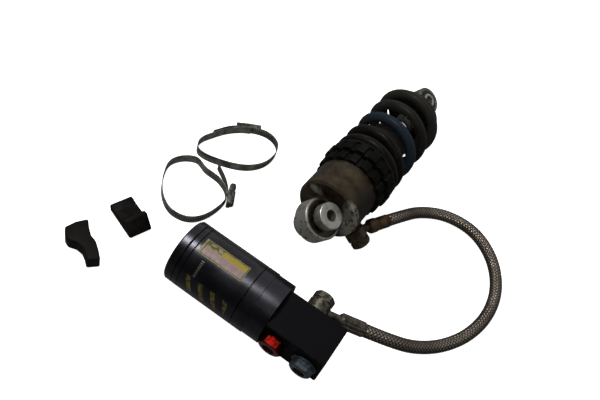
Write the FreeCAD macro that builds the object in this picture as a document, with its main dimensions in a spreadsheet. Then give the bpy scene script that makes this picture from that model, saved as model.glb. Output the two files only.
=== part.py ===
# Motorcycle rear shock absorber with a remote reservoir on a braided hose.
# Frame: origin at the centre of the upper eye, +Y along the shock to the lower eye,
# +Z up, millimetres. The parts lie on a level surface just as they would on a bench.
import FreeCAD, Part
import math
import os
import Sketcher
from FreeCAD import Placement, Rotation, Vector

# Driving sizes
SIZES = {
    # The shock as a whole
    "eye_to_eye": 238,
    "eye_lean": 60,
    "stroke": 28,
    "slip": 0.08,
    "seat_gap": 0.3,
    # Upper eye and its ball joint
    "eye_radius": 22,
    "eye_width": 19,
    "eye_web_height": 36,
    "race_radius": 18,
    "race_width": 14,
    "ball_radius": 13,
    "ball_width": 17,
    "ball_gap": 0.25,
    "upper_bolt": 12,
    "sleeve_radius": 14,
    "sleeve_neck": 8.5,
    "sleeve_span": 44,
    "clip_wire": 1.4,
    "clip_width": 2.2,
    "spacer_bevel": 3,
    "edge_break": 0.8,
    # Damper head with the hose port
    "head_start": 18,
    "head_end": 58,
    "head_radius": 34.5,
    "head_chamfer": 2.5,
    "lug_radius": 34,
    "lug_start": 15.5,
    "lug_thickness": 12,
    "lug_reach": 20,
    "eye_pocket": 26,
    "chamber_start": 40,
    "port_place": 34,
    "port_angle": 35,
    "port_reach": 35.5,
    "port_radius": 11.5,
    # Damper body and spring carriers
    "body_radius": 23,
    "body_wall": 3,
    "body_start": 46,
    "body_end": 152,
    "ring_radius": 41,
    "lock_ring_radius": 38.5,
    "ring_thickness": 13,
    "ring_spacing": 2,
    "ring_notches": 16,
    "notch_width": 5.5,
    "notch_depth": 2.5,
    "ring_chamfer": 1.5,
    "carrier_thickness": 3,
    "carrier_radius": 39.5,
    "spigot_depth": 3,
    # Spring
    "wire": 11.5,
    "spring_radius": 39.8,
    "spring_pitch": 27.5,
    "end_pitch": 12.6,
    "spring_turns": 4.95,
    "closed_start": 0.75,
    "closed_end": 1,
    "spring_phase": 344,
    "ground_depth": 1.25,
    "lower_seat_radius": 31,
    "lower_seat_thickness": 3.5,
    # Rod and piston
    "rod_radius": 7,
    "rod_bore": 3,
    "piston_length": 14,
    "piston_stem": 5,
    "shim_radius": 15,
    "shim_thickness": 3,
    "nut_thickness": 7,
    "nut_width": 17,
    "top_out_thickness": 4,
    "seal_head_length": 22,
    "seal_inset": 6,
    "seal_width": 4,
    "seal_depth": 3,
    "wiper_lip": 2.5,
    "band_depth": 1.2,
    "band_width": 8,
    "bump_length": 8,
    "bump_radius": 11,
    "cup_thickness": 2.5,
    # Lower eye
    "lower_eye_radius": 16.5,
    "lower_eye_width": 18,
    "lower_bolt": 10,
    "lower_sleeve_radius": 8,
    "lower_bush_radius": 12.5,
    "lower_sleeve_span": 22,
    "neck_radius": 11,
    "shoulder_radius": 15,
    "wheel_radius": 12.5,
    "wheel_width": 5,
    "wheel_detents": 18,
    "lock_nut_thickness": 5,
    # Reservoir
    "cap_place_x": -76.7,
    "cap_place_y": -111.8,
    "reservoir_yaw": 2.3,
    "reservoir_radius": 31.5,
    "reservoir_wall": 4,
    "cap_length": 9,
    "cap_plug": 12,
    "second_groove": 15,
    "third_groove": 75.6,
    "reservoir_length": 87.4,
    "collar_inset": 0.7,
    "groove_width": 1.2,
    "groove_depth": 0.9,
    "floating_place": 52,
    "floating_length": 16,
    "floating_rim": 6,
    "floating_groove": 4,
    "gas_valve_radius": 4,
    "gas_valve_reach": 7,
    # Valve block
    "block_start": 105,
    "block_end": 167,
    "block_roll": 8,
    "block_front": 22.5,
    "block_rear": 18.5,
    "block_top": 22,
    "block_bottom": 24,
    "block_chamfer": 1,
    "red_place": 118,
    "blue_place": 151,
    "red_rise": 2,
    "red_width": 21,
    "blue_width": 19,
    "knob_height": 8,
    "knob_step": 2,
    "knob_screw": 6,
    "cartridge_radius": 8,
    "cartridge_depth": 18,
    "blue_collar": 12.5,
    # Banjo fittings and hose
    "banjo_radius": 11,
    "banjo_thickness": 12,
    "banjo_bolt": 5,
    "bolt_head_width": 18.5,
    "bolt_head_height": 7.5,
    "washer_thickness": 1.5,
    "washer_radius": 8.5,
    "neck_pipe": 4.5,
    "neck_drop": 2.4,
    "head_neck_reach": 43.4,
    "block_neck_reach": 49.7,
    "ferrule_radius": 7.8,
    "ferrule_length": 26,
    "fluted_radius": 7.5,
    "fluted_length": 26,
    "flutes": 12,
    "hose_radius": 6.7,
    "block_bolt_place": 133,
    "block_bolt_rise": 5,
    "block_bolt_depth": 12,
    # Mounting kit of the reservoir
    "clamp_width": 11,
    "clamp_band": 0.9,
    "clamp_housing_length": 22,
    "clamp_housing_height": 10.6,
    "clamp_screw_radius": 3,
    "screw_head": 5,
    "slot_depth": 1.5,
    "slot_width": 1.2,
    "pad_length": 42,
    "pad_width": 24,
    "pad_height": 16,
    "flat_pad_height": 15,
}

# Places chosen by hand: the hose's route between its ferrules, whose mouths are its two ends
HOSE_ROUTE = [
    (62.0, 88.9, -22.4), (74.5, 119.0, -32.0), (101.0, 140.5, -34.3), (137.0, 144.5, -34.3),
    (169.0, 125.5, -34.3), (189.0, 94.0, -34.3), (195.0, 57.5, -34.3), (188.5, 21.5, -34.3),
    (172.5, -9.0, -34.0), (150.5, -34.0, -28.5), (126.4, -54.2, -14.4),
]
# Loops of the two loose clamps and their free tails, seen from above, anticlockwise from the screw
FRONT_CLAMP = [
    (-132.0, 74.5), (-147.0, 59.0), (-157.0, 38.5), (-161.5, 19.0), (-152.5, 8.0),
    (-126.0, 14.5), (-102.5, 29.5), (-91.5, 51.0), (-96.0, 76.0), (-113.0, 83.5),
]
FRONT_TAIL = [(-149.0, 60.4), (-159.2, 39.5)]
REAR_CLAMP = [
    (-96.0, -18.0), (-112.0, -8.0), (-132.0, -7.0), (-149.5, -4.0), (-164.0, -23.0),
    (-157.5, -44.5), (-141.0, -64.5), (-121.5, -72.5), (-102.0, -65.0), (-92.5, -42.0),
]
REAR_TAIL = [(-106.0, -5.5), (-126.5, 7.0)]
# Outline of the saddle pad that lies on its side, seen from above
FLAT_PAD = [
    (-178.8, -160.4), (-176.0, -149.5), (-170.0, -139.2), (-162.0, -146.0), (-154.8, -150.8),
    (-148.0, -151.9), (-139.0, -157.5), (-130.7, -163.9), (-138.8, -173.3), (-145.0, -169.0),
    (-151.3, -165.8), (-158.5, -165.5), (-166.2, -168.6), (-172.0, -167.0),
]

os.makedirs("parts", exist_ok=True)
doc = FreeCAD.newDocument("rear_shock")
sheet = doc.addObject("Spreadsheet::Sheet", "Sizes")
for row, (alias, number) in enumerate(SIZES.items(), start=1):
    sheet.set(f"A{row}", alias)
    sheet.set(f"B{row}", str(number))
    sheet.setAlias(f"B{row}", alias)
doc.recompute()


class Size:
    """A length, angle or count: its number, and the sheet formula that gives it."""

    def __init__(self, number, formula):
        self.number = number
        self.formula = formula

    def __add__(self, other):
        return Size(self.number + plain(other), f"({self.formula} + {written(other)})")

    def __sub__(self, other):
        return Size(self.number - plain(other), f"({self.formula} - {written(other)})")

    def __mul__(self, other):
        return Size(self.number * plain(other), f"({self.formula} * {written(other)})")

    def __truediv__(self, other):
        return Size(self.number / plain(other), f"({self.formula} / {written(other)})")

    def __neg__(self):
        return Size(-self.number, f"(0 - {self.formula})")

    __radd__ = __add__
    __rmul__ = __mul__

    def __rsub__(self, other):
        return -self + other


def plain(value):
    """The number of a Size, or the number itself."""
    return value.number if isinstance(value, Size) else value


def written(value):
    """The formula of a Size, or the number as text."""
    return value.formula if isinstance(value, Size) else repr(value)


def bind(thing, name, value):
    """Gives a property its value, by formula where the value is a Size."""
    if isinstance(value, Size):
        thing.setExpression(name, value.formula)
    else:
        setattr(thing, name, value)


class Sheet:
    """The driving sizes as attributes."""


size = Sheet()
for alias, number in SIZES.items():
    setattr(size, alias, Size(number, f"Sizes.{alias}"))

# Bores that follow the tubes round them
bore_radius = size.body_radius - size.body_wall
reservoir_bore = size.reservoir_radius - size.reservoir_wall
collar_radius = size.reservoir_radius - size.collar_inset

# Frames: a frame's Y axis is the axis that its pieces turn about
SIDEWAYS = Rotation(Vector(1, 0, 0), -90)


def frame_at(origin, along, up):
    """A frame at origin with its Y axis along a direction and its Z axis near up."""
    across = along.cross(up)
    return Placement(origin, Rotation(across, along, across.cross(along), "YXZ"))


def shift(x=0, y=0, z=0):
    """A move inside a frame."""
    return Placement(Vector(plain(x), plain(y), plain(z)), Rotation())


SHOCK = Placement()
lean = math.radians(size.eye_lean.number)
eye_axis = Vector(math.cos(lean), 0, math.sin(lean))
UPPER_EYE = frame_at(Vector(0, 0, 0), eye_axis, Vector(0, 1, 0))
LOWER_EYE = frame_at(Vector(0, size.eye_to_eye.number, 0), eye_axis, Vector(0, 1, 0))
port_lean = math.radians(size.port_angle.number)
port_axis = Vector(math.cos(port_lean), 0, -math.sin(port_lean))
PORT = frame_at(Vector(0, size.port_place.number, 0), port_axis, Vector(0, 1, 0))
FLOOR = -size.ring_radius.number
yaw = math.radians(size.reservoir_yaw.number)
reservoir_axis = Vector(math.cos(yaw), math.sin(yaw), 0)
cap_place = Vector(size.cap_place_x.number, size.cap_place_y.number, FLOOR + size.reservoir_radius.number)
RESERVOIR = frame_at(cap_place, reservoir_axis, Vector(0, 0, 1))
BLOCK = RESERVOIR * Placement(Vector(), Rotation(Vector(0, 1, 0), size.block_roll.number))


def block_side(along, rise, side):
    """A frame on the block's axis, at a place along it, whose Y axis points out of one side."""
    here = shift(0, along, rise)
    return BLOCK * here * frame_at(Vector(), Vector(side, 0, 0), Vector(0, 0, 1))


RED = block_side(size.red_place, size.red_rise, 1)
BLUE = block_side(size.blue_place, 0, 1)
BLOCK_PORT = block_side(size.block_bolt_place, size.block_bolt_rise, -1)

# Ways of making a piece
exports = []


def keep(thing, name):
    """Marks a finished sub-part: its label is its node's and its file's name."""
    thing.Label = name
    exports.append(thing)
    return thing


def origin_plane(body, role):
    return [feature for feature in body.Origin.OriginFeatures if feature.Role == role][0]


def new_sketch(body, role):
    sketch = body.newObject("Sketcher::SketchObject", "outline")
    sketch.AttachmentSupport = (origin_plane(body, role), [""])
    sketch.MapMode = "FlatFace"
    return sketch


def pin(sketch, line, kind, value):
    """Holds the start of a line at a distance from the sketch's origin."""
    if plain(value) == 0:
        axis = -2 if kind == "DistanceX" else -1
        sketch.addConstraint(Sketcher.Constraint("PointOnObject", line, 1, axis))
        return
    place = sketch.addConstraint(Sketcher.Constraint(kind, -1, 1, line, 1, plain(value)))
    if isinstance(value, Size):
        sketch.setExpression(f"Constraints[{place}]", value.formula)


def polygon(sketch, points):
    """Draws a closed outline of straight lines, each corner held by its own two sizes."""
    corners = [Vector(plain(x), plain(y), 0) for x, y in points]
    for start, end in zip(corners, corners[1:] + corners[:1]):
        sketch.addGeometry(Part.LineSegment(start, end), False)
    for line in range(len(corners)):
        following = (line + 1) % len(corners)
        sketch.addConstraint(Sketcher.Constraint("Coincident", line, 2, following, 1))
    for line, (x, y) in enumerate(points):
        pin(sketch, line, "DistanceX", x)
        pin(sketch, line, "DistanceY", y)


def turned(name, points, frame=SHOCK):
    """A body turned about its frame's Y axis from (radius, place along the axis) points."""
    body = doc.addObject("PartDesign::Body", name)
    sketch = new_sketch(body, "XY_Plane")
    polygon(sketch, points)
    turn = body.newObject("PartDesign::Revolution", "turn")
    turn.Profile = sketch
    turn.ReferenceAxis = (sketch, ["V_Axis"])
    turn.Angle = 360
    body.Placement = frame
    return body


def tube(name, outer, inner, start, end, frame=SHOCK, edge=0):
    """A plain ring or tube, with its outer corners broken by an edge."""
    points = [(inner, start), (outer - edge, start)]
    if edge:
        points += [(outer, start + edge), (outer, end - edge)]
    points += [(outer - edge, end), (inner, end)]
    return turned(name, points, frame)


def rod(name, radius, start, end, frame=SHOCK, edge=0):
    """A plain solid round bar, with its corners broken by an edge."""
    return tube(name, radius, 0, start, end, frame, edge)


def notched(body, depth_start, depth_end, width, count):
    """Cuts slots in from the rim of a turned body, all the way along it."""
    sketch = new_sketch(body, "XZ_Plane")
    half = width / 2
    polygon(sketch, [(depth_start, -half), (depth_end, -half), (depth_end, half), (depth_start, half)])
    slot = body.newObject("PartDesign::Pocket", "slot")
    slot.Profile = sketch
    slot.Type = "ThroughAll"
    slot.Midplane = True
    around = body.newObject("PartDesign::PolarPattern", "slots")
    around.Originals = [slot]
    around.Axis = (sketch, ["N_Axis"])
    around.Angle = 360
    bind(around, "Occurrences", count)
    body.Tip = around
    return body


def hexagon(name, width, start, height, frame):
    """A hexagonal bar along the frame's Y axis, given across its flats."""
    bar = doc.addObject("Part::Prism", name)
    bar.Polygon = 6
    bind(bar, "Circumradius", width / (2 * math.cos(math.radians(30))))
    bind(bar, "Height", height)
    bar.Placement = frame * shift(0, start) * Placement(Vector(), SIDEWAYS)
    return bar


def box(name, low, spans, frame=SHOCK):
    """A box from its lowest corner and its three spans."""
    block = doc.addObject("Part::Box", name)
    for side, span in zip(("Length", "Width", "Height"), spans):
        bind(block, side, span)
    block.Placement = frame * shift(*low)
    return block


def fused(name, things):
    whole = doc.addObject("Part::MultiFuse", name)
    whole.Shapes = things
    return whole


def cut(name, base, tools):
    tool = tools[0] if len(tools) == 1 else fused(name + "_tools", tools)
    rest = doc.addObject("Part::Cut", name)
    rest.Base = base
    rest.Tool = tool
    return rest


def common(name, first, second):
    shared = doc.addObject("Part::MultiCommon", name)
    shared.Shapes = [first, second]
    return shared


def group(name, things):
    """Separate solids that share one node."""
    together = doc.addObject("Part::Compound", name)
    together.Links = things
    return together


def feature(name, shape):
    thing = doc.addObject("Part::Feature", name)
    thing.Shape = shape
    return thing


# Paths of tangent arcs, for the spring, the hose and the clamp bands
def arc_towards(start, corner, end):
    """The arc that leaves start towards a corner and reaches end from it, its two sides equal."""
    middle = (start + end) / 2
    chord = (end - start).Length / 2
    side = (corner - start).Length
    if side - chord < 1e-7:
        return Part.LineSegment(start, end).toShape()
    rise = chord * math.tan(math.acos(min(1, chord / side)) / 2)
    top = middle + (corner - middle).normalize() * rise
    return Part.Arc(start, top, end).toShape()


def biarc(start, leaving, end, arriving):
    """Two arcs that join two points with the directions given there."""
    chord = end - start
    turn = 1 - leaving.dot(arriving)
    push = chord.dot(leaving + arriving)
    span = chord.dot(chord)
    if turn < 1e-9:
        side = span / (2 * push)
    else:
        side = (math.sqrt(push * push + 2 * turn * span) - push) / (2 * turn)
    first = start + leaving * side
    second = end - arriving * side
    joint = (first + second) / 2
    return [arc_towards(start, first, joint), arc_towards(joint, second, end)]


def arc_path(points, directions, closed=False):
    """A wire of biarcs through points with the directions given at them."""
    edges = []
    count = len(points)
    for here in range(count if closed else count - 1):
        there = (here + 1) % count
        edges += biarc(points[here], directions[here], points[there], directions[there])
    return Part.Wire(edges)


def swept(path, start, direction, radius):
    """A round section carried along a path as one shell."""
    ring = Part.Wire(Part.Circle(start, direction, radius).toShape())
    return path.makePipeShell([ring], True, False)


# Upper eye and damper head: one machined piece that closes the damper's near end.
# The web joins the eye to the head, and a worn lug beside the eye carries the hose port.
head_turning = turned("head_turning", [
    (0, size.head_start),
    (size.head_radius - size.head_chamfer, size.head_start),
    (size.head_radius, size.head_start + size.head_chamfer),
    (size.head_radius, size.head_end),
    (size.body_radius, size.head_end),
    (size.body_radius, size.body_start),
    (bore_radius, size.body_start),
    (bore_radius, size.chamber_start),
    (0, size.chamber_start),
])
half_eye = size.eye_width / 2
eye_ring = rod("eye_ring", size.eye_radius, -half_eye, half_eye, UPPER_EYE, 1)
web_half = size.eye_web_height / 2
eye_web = box("eye_web", (-web_half, -half_eye, 0),
              (size.eye_web_height, size.eye_width, size.head_start + 1), UPPER_EYE)
lug_disc = rod("lug_disc", size.lug_radius, size.lug_start, size.lug_start + size.lug_thickness, SHOCK, 1.5)
lug_box = box("lug_box", (size.lug_reach, size.lug_start - 1, -size.lug_radius),
              (size.lug_radius, size.lug_thickness + 2, 2 * size.lug_radius))
lug = common("lug", lug_disc, lug_box)
port_boss = rod("port_boss", size.port_radius, bore_radius + 1, size.port_reach, PORT, 1)
eye_clearance = rod("eye_clearance", size.eye_pocket, -size.eye_pocket, size.eye_pocket, UPPER_EYE)
lug_beside_eye = cut("lug_beside_eye", lug, [eye_clearance])
head_blank = fused("head_blank", [head_turning, eye_ring, eye_web, lug_beside_eye, port_boss])
clip_outer = size.race_width / 2 + size.clip_wire
clip_inner = size.race_radius - size.clip_width
eye_bore = turned("eye_bore", [
    (0, -half_eye - 1), (size.race_radius, -half_eye - 1),
    (size.race_radius, half_eye + 1), (0, half_eye + 1),
], UPPER_EYE)
port_bore = rod("port_bore", size.banjo_bolt, bore_radius - 4, size.port_reach + 1, PORT)
head = keep(cut("head_cut", head_blank, [eye_bore, port_bore]), "damper_head")

# Ball joint in the upper eye: a race pressed into the eye, a ball and two top-hat spacers
race_half = size.race_width / 2
race_ring = rod("race_ring", size.race_radius, -race_half, race_half, UPPER_EYE)
race_hollow = doc.addObject("Part::Sphere", "race_hollow")
bind(race_hollow, "Radius", size.ball_radius + size.ball_gap)
keep(cut("race_cut", race_ring, [race_hollow]), "upper_bearing_race")
keep(group("race_clips", [
    tube("clip_front", size.race_radius, clip_inner, race_half, clip_outer, UPPER_EYE),
    tube("clip_rear", size.race_radius, clip_inner, -clip_outer, -race_half, UPPER_EYE),
]), "upper_bearing_clips")
upper_bore = size.upper_bolt / 2
ball_sphere = doc.addObject("Part::Sphere", "ball_sphere")
bind(ball_sphere, "Radius", size.ball_radius)
ball_half = size.ball_width / 2
ball_flats = tube("ball_flats", size.ball_radius + 1, size.sleeve_neck + size.slip,
                  -ball_half, ball_half, UPPER_EYE)
keep(common("ball_common", ball_sphere, ball_flats), "upper_bearing_ball")
sleeve_end = size.sleeve_span / 2


def spacer(name, side):
    """A top-hat spacer: a flange outside the eye and a neck inside the ball."""
    inner = (ball_half + size.seat_gap) * side
    return turned(name, [
        (upper_bore, size.seat_gap * side / 2),
        (size.sleeve_neck, size.seat_gap * side / 2),
        (size.sleeve_neck, inner),
        (size.sleeve_radius - size.spacer_bevel, inner),
        (size.sleeve_radius, inner + size.spacer_bevel * side),
        (size.sleeve_radius, sleeve_end * side - size.edge_break * side),
        (size.sleeve_radius - size.edge_break, sleeve_end * side),
        (upper_bore, sleeve_end * side),
    ], UPPER_EYE)


keep(group("spacers", [spacer("front_spacer", 1), spacer("rear_spacer", -1)]), "upper_eye_spacers")

# Damper body: a tube screwed into the head, with the thread for the preload rings outside
keep(tube("body_tube", size.body_radius, bore_radius, size.body_start, size.body_end),
     "damper_body")
# Two notched rings on the thread and the spring's washer in front of them
lock_start = size.head_end + size.seat_gap
preload_start = lock_start + size.ring_thickness + size.ring_spacing
preload_end = preload_start + size.ring_thickness
carrier_end = preload_end + size.seat_gap + size.carrier_thickness
thread_fit = size.body_radius + size.slip
for label, outer, start in (("lock_ring", size.lock_ring_radius, lock_start),
                            ("preload_ring", size.ring_radius, preload_start)):
    ring = tube(label + "_body", outer, thread_fit, start, start + size.ring_thickness, SHOCK,
                size.ring_chamfer)
    keep(notched(ring, outer - size.notch_depth, outer + size.notch_depth, size.notch_width,
                 size.ring_notches), label)
spring_inner = size.spring_radius - size.wire
carrier_start = preload_end + size.seat_gap
keep(turned("carrier", [
    (thread_fit, carrier_start),
    (size.carrier_radius, carrier_start),
    (size.carrier_radius, carrier_end),
    (spring_inner - size.seat_gap, carrier_end),
    (spring_inner - size.seat_gap, carrier_end + size.spigot_depth),
    (thread_fit, carrier_end + size.spigot_depth),
]), "upper_spring_seat")

# Spring: round wire, a close turn at each end, both ends ground flat on their seats
wire_radius = size.wire.number / 2
coil_radius = size.spring_radius.number - wire_radius
ground = size.ground_depth.number
first_centre = carrier_end.number + wire_radius - ground
turns = size.spring_turns.number


def rise(turn):
    """The coil's place along the shock after some turns, its pitch eased at both ends."""
    close = size.end_pitch.number
    open_pitch = size.spring_pitch.number
    extra = open_pitch - close

    def opened(past):
        """Extra rise after a start of opening, eased in over half a turn."""
        return 0 if past <= 0 else extra * (past * past if past < 0.5 else past - 0.25)

    closing = turns - size.closed_end.number
    return first_centre + close * turn + opened(turn - size.closed_start.number) - opened(turn - closing)


def coil_point(turn):
    """A place on the wire's centre line, which winds left-handed along the shock."""
    angle = math.radians(size.spring_phase.number) + 2 * math.pi * turn
    return Vector(coil_radius * math.cos(angle), rise(turn), coil_radius * math.sin(angle))


QUARTER = 0.25
stations = [QUARTER * step for step in range(int(turns / QUARTER) + 1)]
if turns - stations[-1] > 0.01:
    stations.append(turns)
NUDGE = 1e-4
coil_points = [coil_point(turn) for turn in stations]
coil_directions = [(coil_point(turn + NUDGE) - coil_point(turn - NUDGE)).normalize() for turn in stations]
coil_path = arc_path(coil_points, coil_directions)
spring_end = rise(turns) + wire_radius - ground
coil = swept(coil_path, coil_points[0], coil_directions[0], wire_radius)
length_share = coil.Volume / (math.pi * wire_radius ** 2 * coil_path.Length)
ground_space = Part.makeCylinder(
    2 * coil_radius, spring_end - carrier_end.number, Vector(0, carrier_end.number, 0), Vector(0, 1, 0))
keep(feature("spring", coil.common(ground_space).Solids[0]), "main_spring")
samples = [coil_point(turns * step / 720) for step in range(721)]
apart = int(720 * 0.6 / turns)
least = min((a - b).Length for i, a in enumerate(samples) for b in samples[i + apart:])
print(f"spring: volume share {length_share:.4f}, least gap to itself {least - 2 * wire_radius:.2f} mm")

# Lower spring seat: a dished washer that bears on the shoulder of the lower eye
seat_start = Size(spring_end, repr(spring_end))
seat_end = seat_start + size.lower_seat_thickness
rod_fit = size.rod_radius + size.slip
keep(turned("lower_seat", [
    (size.neck_radius + size.slip, seat_start - size.spigot_depth),
    (spring_inner - size.seat_gap, seat_start - size.spigot_depth),
    (spring_inner - size.seat_gap, seat_start),
    (size.lower_seat_radius, seat_start),
    (size.lower_seat_radius, seat_end - 1),
    (size.lower_seat_radius - 1, seat_end),
    (size.neck_radius + size.slip, seat_end),
]), "lower_spring_seat")

# Seal head that closes the damper body round the rod, with its wiper, seal and clip
seal_start = size.body_end - size.seal_head_length
seal_groove = seal_start + size.seal_inset
seal_groove_end = seal_groove + size.seal_width
seal_outer = size.rod_radius + size.seal_depth
wiper_start = size.body_end - size.seal_depth
wiper_end = size.body_end + size.wiper_lip
boss_radius = bore_radius - size.seal_width
keep(turned("seal_head_turning", [
    (rod_fit, seal_start), (bore_radius, seal_start), (bore_radius, wiper_start),
    (boss_radius, wiper_start), (boss_radius, size.body_end + 1),
    (seal_outer, size.body_end + 1), (seal_outer, wiper_start),
    (rod_fit, wiper_start), (rod_fit, seal_groove_end), (seal_outer, seal_groove_end),
    (seal_outer, seal_groove), (rod_fit, seal_groove),
]), "seal_head")
keep(tube("seal_ring", seal_outer, rod_fit, seal_groove, seal_groove_end), "rod_seal")
keep(turned("wiper_ring", [
    (rod_fit, wiper_start), (seal_outer, wiper_start), (seal_outer, size.body_end + 1),
    (size.rod_radius + 1, wiper_end), (rod_fit, wiper_end),
]), "rod_wiper")
keep(tube("seal_clip", bore_radius, boss_radius + 1, wiper_start, size.body_end - 1),
     "seal_head_clip")

# Rod and piston, drawn with the shock at its full length
top_out_end = seal_start - size.seat_gap
piston_end = top_out_end - size.top_out_thickness - size.shim_thickness
piston_start = piston_end - size.piston_length
shims_start = piston_start - size.shim_thickness
nut_start = shims_start - size.nut_thickness
stem_end = piston_end + size.shim_thickness
bump_start = wiper_end + size.seat_gap + size.stroke
cup_start = bump_start + size.bump_length
rod_end = seat_end
keep(turned("rod_turning", [
    (size.rod_bore, nut_start - 2), (size.piston_stem, nut_start - 2),
    (size.piston_stem, stem_end), (size.rod_radius, stem_end),
    (size.rod_radius, rod_end), (size.rod_bore, rod_end),
]), "damper_rod")
band_radius = bore_radius - size.slip
piston_middle = (piston_start + piston_end) / 2
band_start = piston_middle - size.band_width / 2
band_end = piston_middle + size.band_width / 2
piston_ring = turned("piston_ring", [
    (size.piston_stem, piston_start), (bore_radius - 1, piston_start),
    (bore_radius - 1, band_start), (band_radius - size.band_depth, band_start),
    (band_radius - size.band_depth, band_end), (bore_radius - 1, band_end),
    (bore_radius - 1, piston_end), (size.piston_stem, piston_end),
])
ports = [
    rod(f"piston_port_{number}", 2, piston_start - 1, piston_end + 1,
        Placement(Vector(), Rotation(Vector(0, 1, 0), 60 * number)) * shift(11))
    for number in range(6)
]
keep(cut("piston_cut", piston_ring, ports), "main_piston")
keep(tube("band_ring", band_radius, band_radius - size.band_depth, band_start, band_end), "piston_band")
keep(group("shims", [
    turned("rebound_shims", [
        (size.piston_stem, shims_start), (size.shim_radius / 2, shims_start),
        (size.shim_radius / 2, shims_start + 1), (size.shim_radius, shims_start + 2),
        (size.shim_radius, piston_start), (size.piston_stem, piston_start),
    ]),
    turned("compression_shims", [
        (size.piston_stem, piston_end), (size.shim_radius, piston_end),
        (size.shim_radius, piston_end + 1), (size.shim_radius / 2, piston_end + 2),
        (size.shim_radius / 2, stem_end), (size.piston_stem, stem_end),
    ]),
]), "valve_shims")
nut_hex = hexagon("nut_hex", size.nut_width, nut_start, size.nut_thickness, SHOCK)
keep(cut("nut_cut", nut_hex, [rod("nut_bore", size.piston_stem, nut_start - 1, shims_start + 1)]),
     "piston_nut")
keep(tube("top_out", size.shim_radius, size.rod_radius, stem_end, top_out_end), "top_out_ring")
keep(turned("bump", [
    (size.rod_radius + 0.1, bump_start), (size.bump_radius - 2.5, bump_start),
    (size.bump_radius - 1, bump_start + 2), (size.bump_radius - 1.8, bump_start + 4),
    (size.bump_radius, cup_start - 2), (size.bump_radius - 1, cup_start),
    (size.rod_radius + 0.1, cup_start),
]), "bump_stop")
cup_end = cup_start + size.cup_thickness
keep(tube("cup", size.bump_radius, size.rod_radius, cup_start, cup_end, SHOCK, 0.6), "bump_stop_washer")
lock_nut_end = cup_end + size.lock_nut_thickness
lock_nut_hex = hexagon("lock_nut_hex", size.nut_width + 2, cup_end, size.lock_nut_thickness, SHOCK)
lock_nut_bore = rod("lock_nut_bore", size.rod_radius, cup_end - 1, lock_nut_end + 1)
keep(cut("lock_nut_cut", lock_nut_hex, [lock_nut_bore]), "rod_lock_nut")

# Lower eye, screwed on to the rod: a neck with the rebound wheel, a shoulder and the eye
wheel_start = lock_nut_end
neck_back = wheel_start + size.wheel_width + 2 * size.seat_gap
keep(notched(
    tube("wheel_ring", size.wheel_radius, rod_fit, wheel_start + size.seat_gap,
         wheel_start + size.seat_gap + size.wheel_width, SHOCK, 0.6),
    size.wheel_radius - 1, size.wheel_radius + 1, size.wheel_width / 4, size.wheel_detents), "rebound_wheel")
lower_half = size.lower_eye_width / 2
neck_turning = turned("neck_turning", [
    (0, rod_end), (size.rod_radius, rod_end), (size.rod_radius, neck_back),
    (size.neck_radius, neck_back), (size.neck_radius, seat_end),
    (size.shoulder_radius, seat_end), (size.shoulder_radius, seat_end + 3),
    (size.neck_radius, seat_end + 8), (size.neck_radius, size.eye_to_eye - size.lower_bush_radius),
    (0, size.eye_to_eye - size.lower_bush_radius),
])
lower_ring = rod("lower_ring", size.lower_eye_radius, -lower_half, lower_half, LOWER_EYE, 1)
lower_blank = fused("lower_blank", [neck_turning, lower_ring])
lower_hole = rod("lower_hole", size.lower_bush_radius, -lower_half - 1, lower_half + 1, LOWER_EYE)
keep(cut("lower_eye_cut", lower_blank, [lower_hole]), "lower_eye")
keep(tube("lower_bush_ring", size.lower_bush_radius, size.lower_sleeve_radius + size.slip,
          -lower_half, lower_half, LOWER_EYE), "lower_bush")
lower_sleeve_end = size.lower_sleeve_span / 2
keep(tube("lower_sleeve_tube", size.lower_sleeve_radius, size.lower_bolt / 2,
          -lower_sleeve_end, lower_sleeve_end, LOWER_EYE, 0.5), "lower_eye_sleeve")


# Banjo unions: washers each side of an eye, a hollow bolt through it, a pipe neck out of it
def banjo_stack(prefix, frame, face, pipe_start, pipe_direction, neck_reach, bolt_depth):
    """One union on a port: eye with its neck, bolt, and a washer on each side."""
    eye_start = face + size.washer_thickness
    eye_end = eye_start + size.banjo_thickness
    head_start = eye_end + size.washer_thickness
    eye = tube(prefix + "_ring", size.banjo_radius, size.banjo_bolt + 0.5, eye_start, eye_end, frame, 1)
    neck_frame = frame_at(pipe_start, pipe_direction, Vector(0, 0, 1))
    neck = rod(prefix + "_neck", size.neck_pipe, size.washer_radius, neck_reach, neck_frame)
    through = rod(prefix + "_through", size.banjo_bolt + 0.5, eye_start - 1, eye_end + 1, frame)
    keep(cut(prefix + "_cut", fused(prefix + "_blank", [eye, neck]), [through]), prefix + "_banjo")
    shank = rod(prefix + "_shank", size.banjo_bolt, face - bolt_depth, head_start, frame)
    head_hex = hexagon(prefix + "_hex", size.bolt_head_width, head_start, size.bolt_head_height, frame)
    crown = turned(prefix + "_crown", [
        (0, head_start), (size.bolt_head_width * 0.62, head_start),
        (size.bolt_head_width * 0.62, head_start + size.bolt_head_height - 2),
        (size.bolt_head_width * 0.42, head_start + size.bolt_head_height),
        (0, head_start + size.bolt_head_height),
    ], frame)
    keep(fused(prefix + "_bolt_fused", [shank, common(prefix + "_head", head_hex, crown)]),
         prefix + "_banjo_bolt")
    keep(group(prefix + "_washer_pair", [
        tube(prefix + "_inner_washer", size.washer_radius, size.banjo_bolt, face, eye_start, frame),
        tube(prefix + "_outer_washer", size.washer_radius, size.banjo_bolt, eye_end, head_start, frame),
    ]), prefix + "_sealing_washers")


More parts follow.
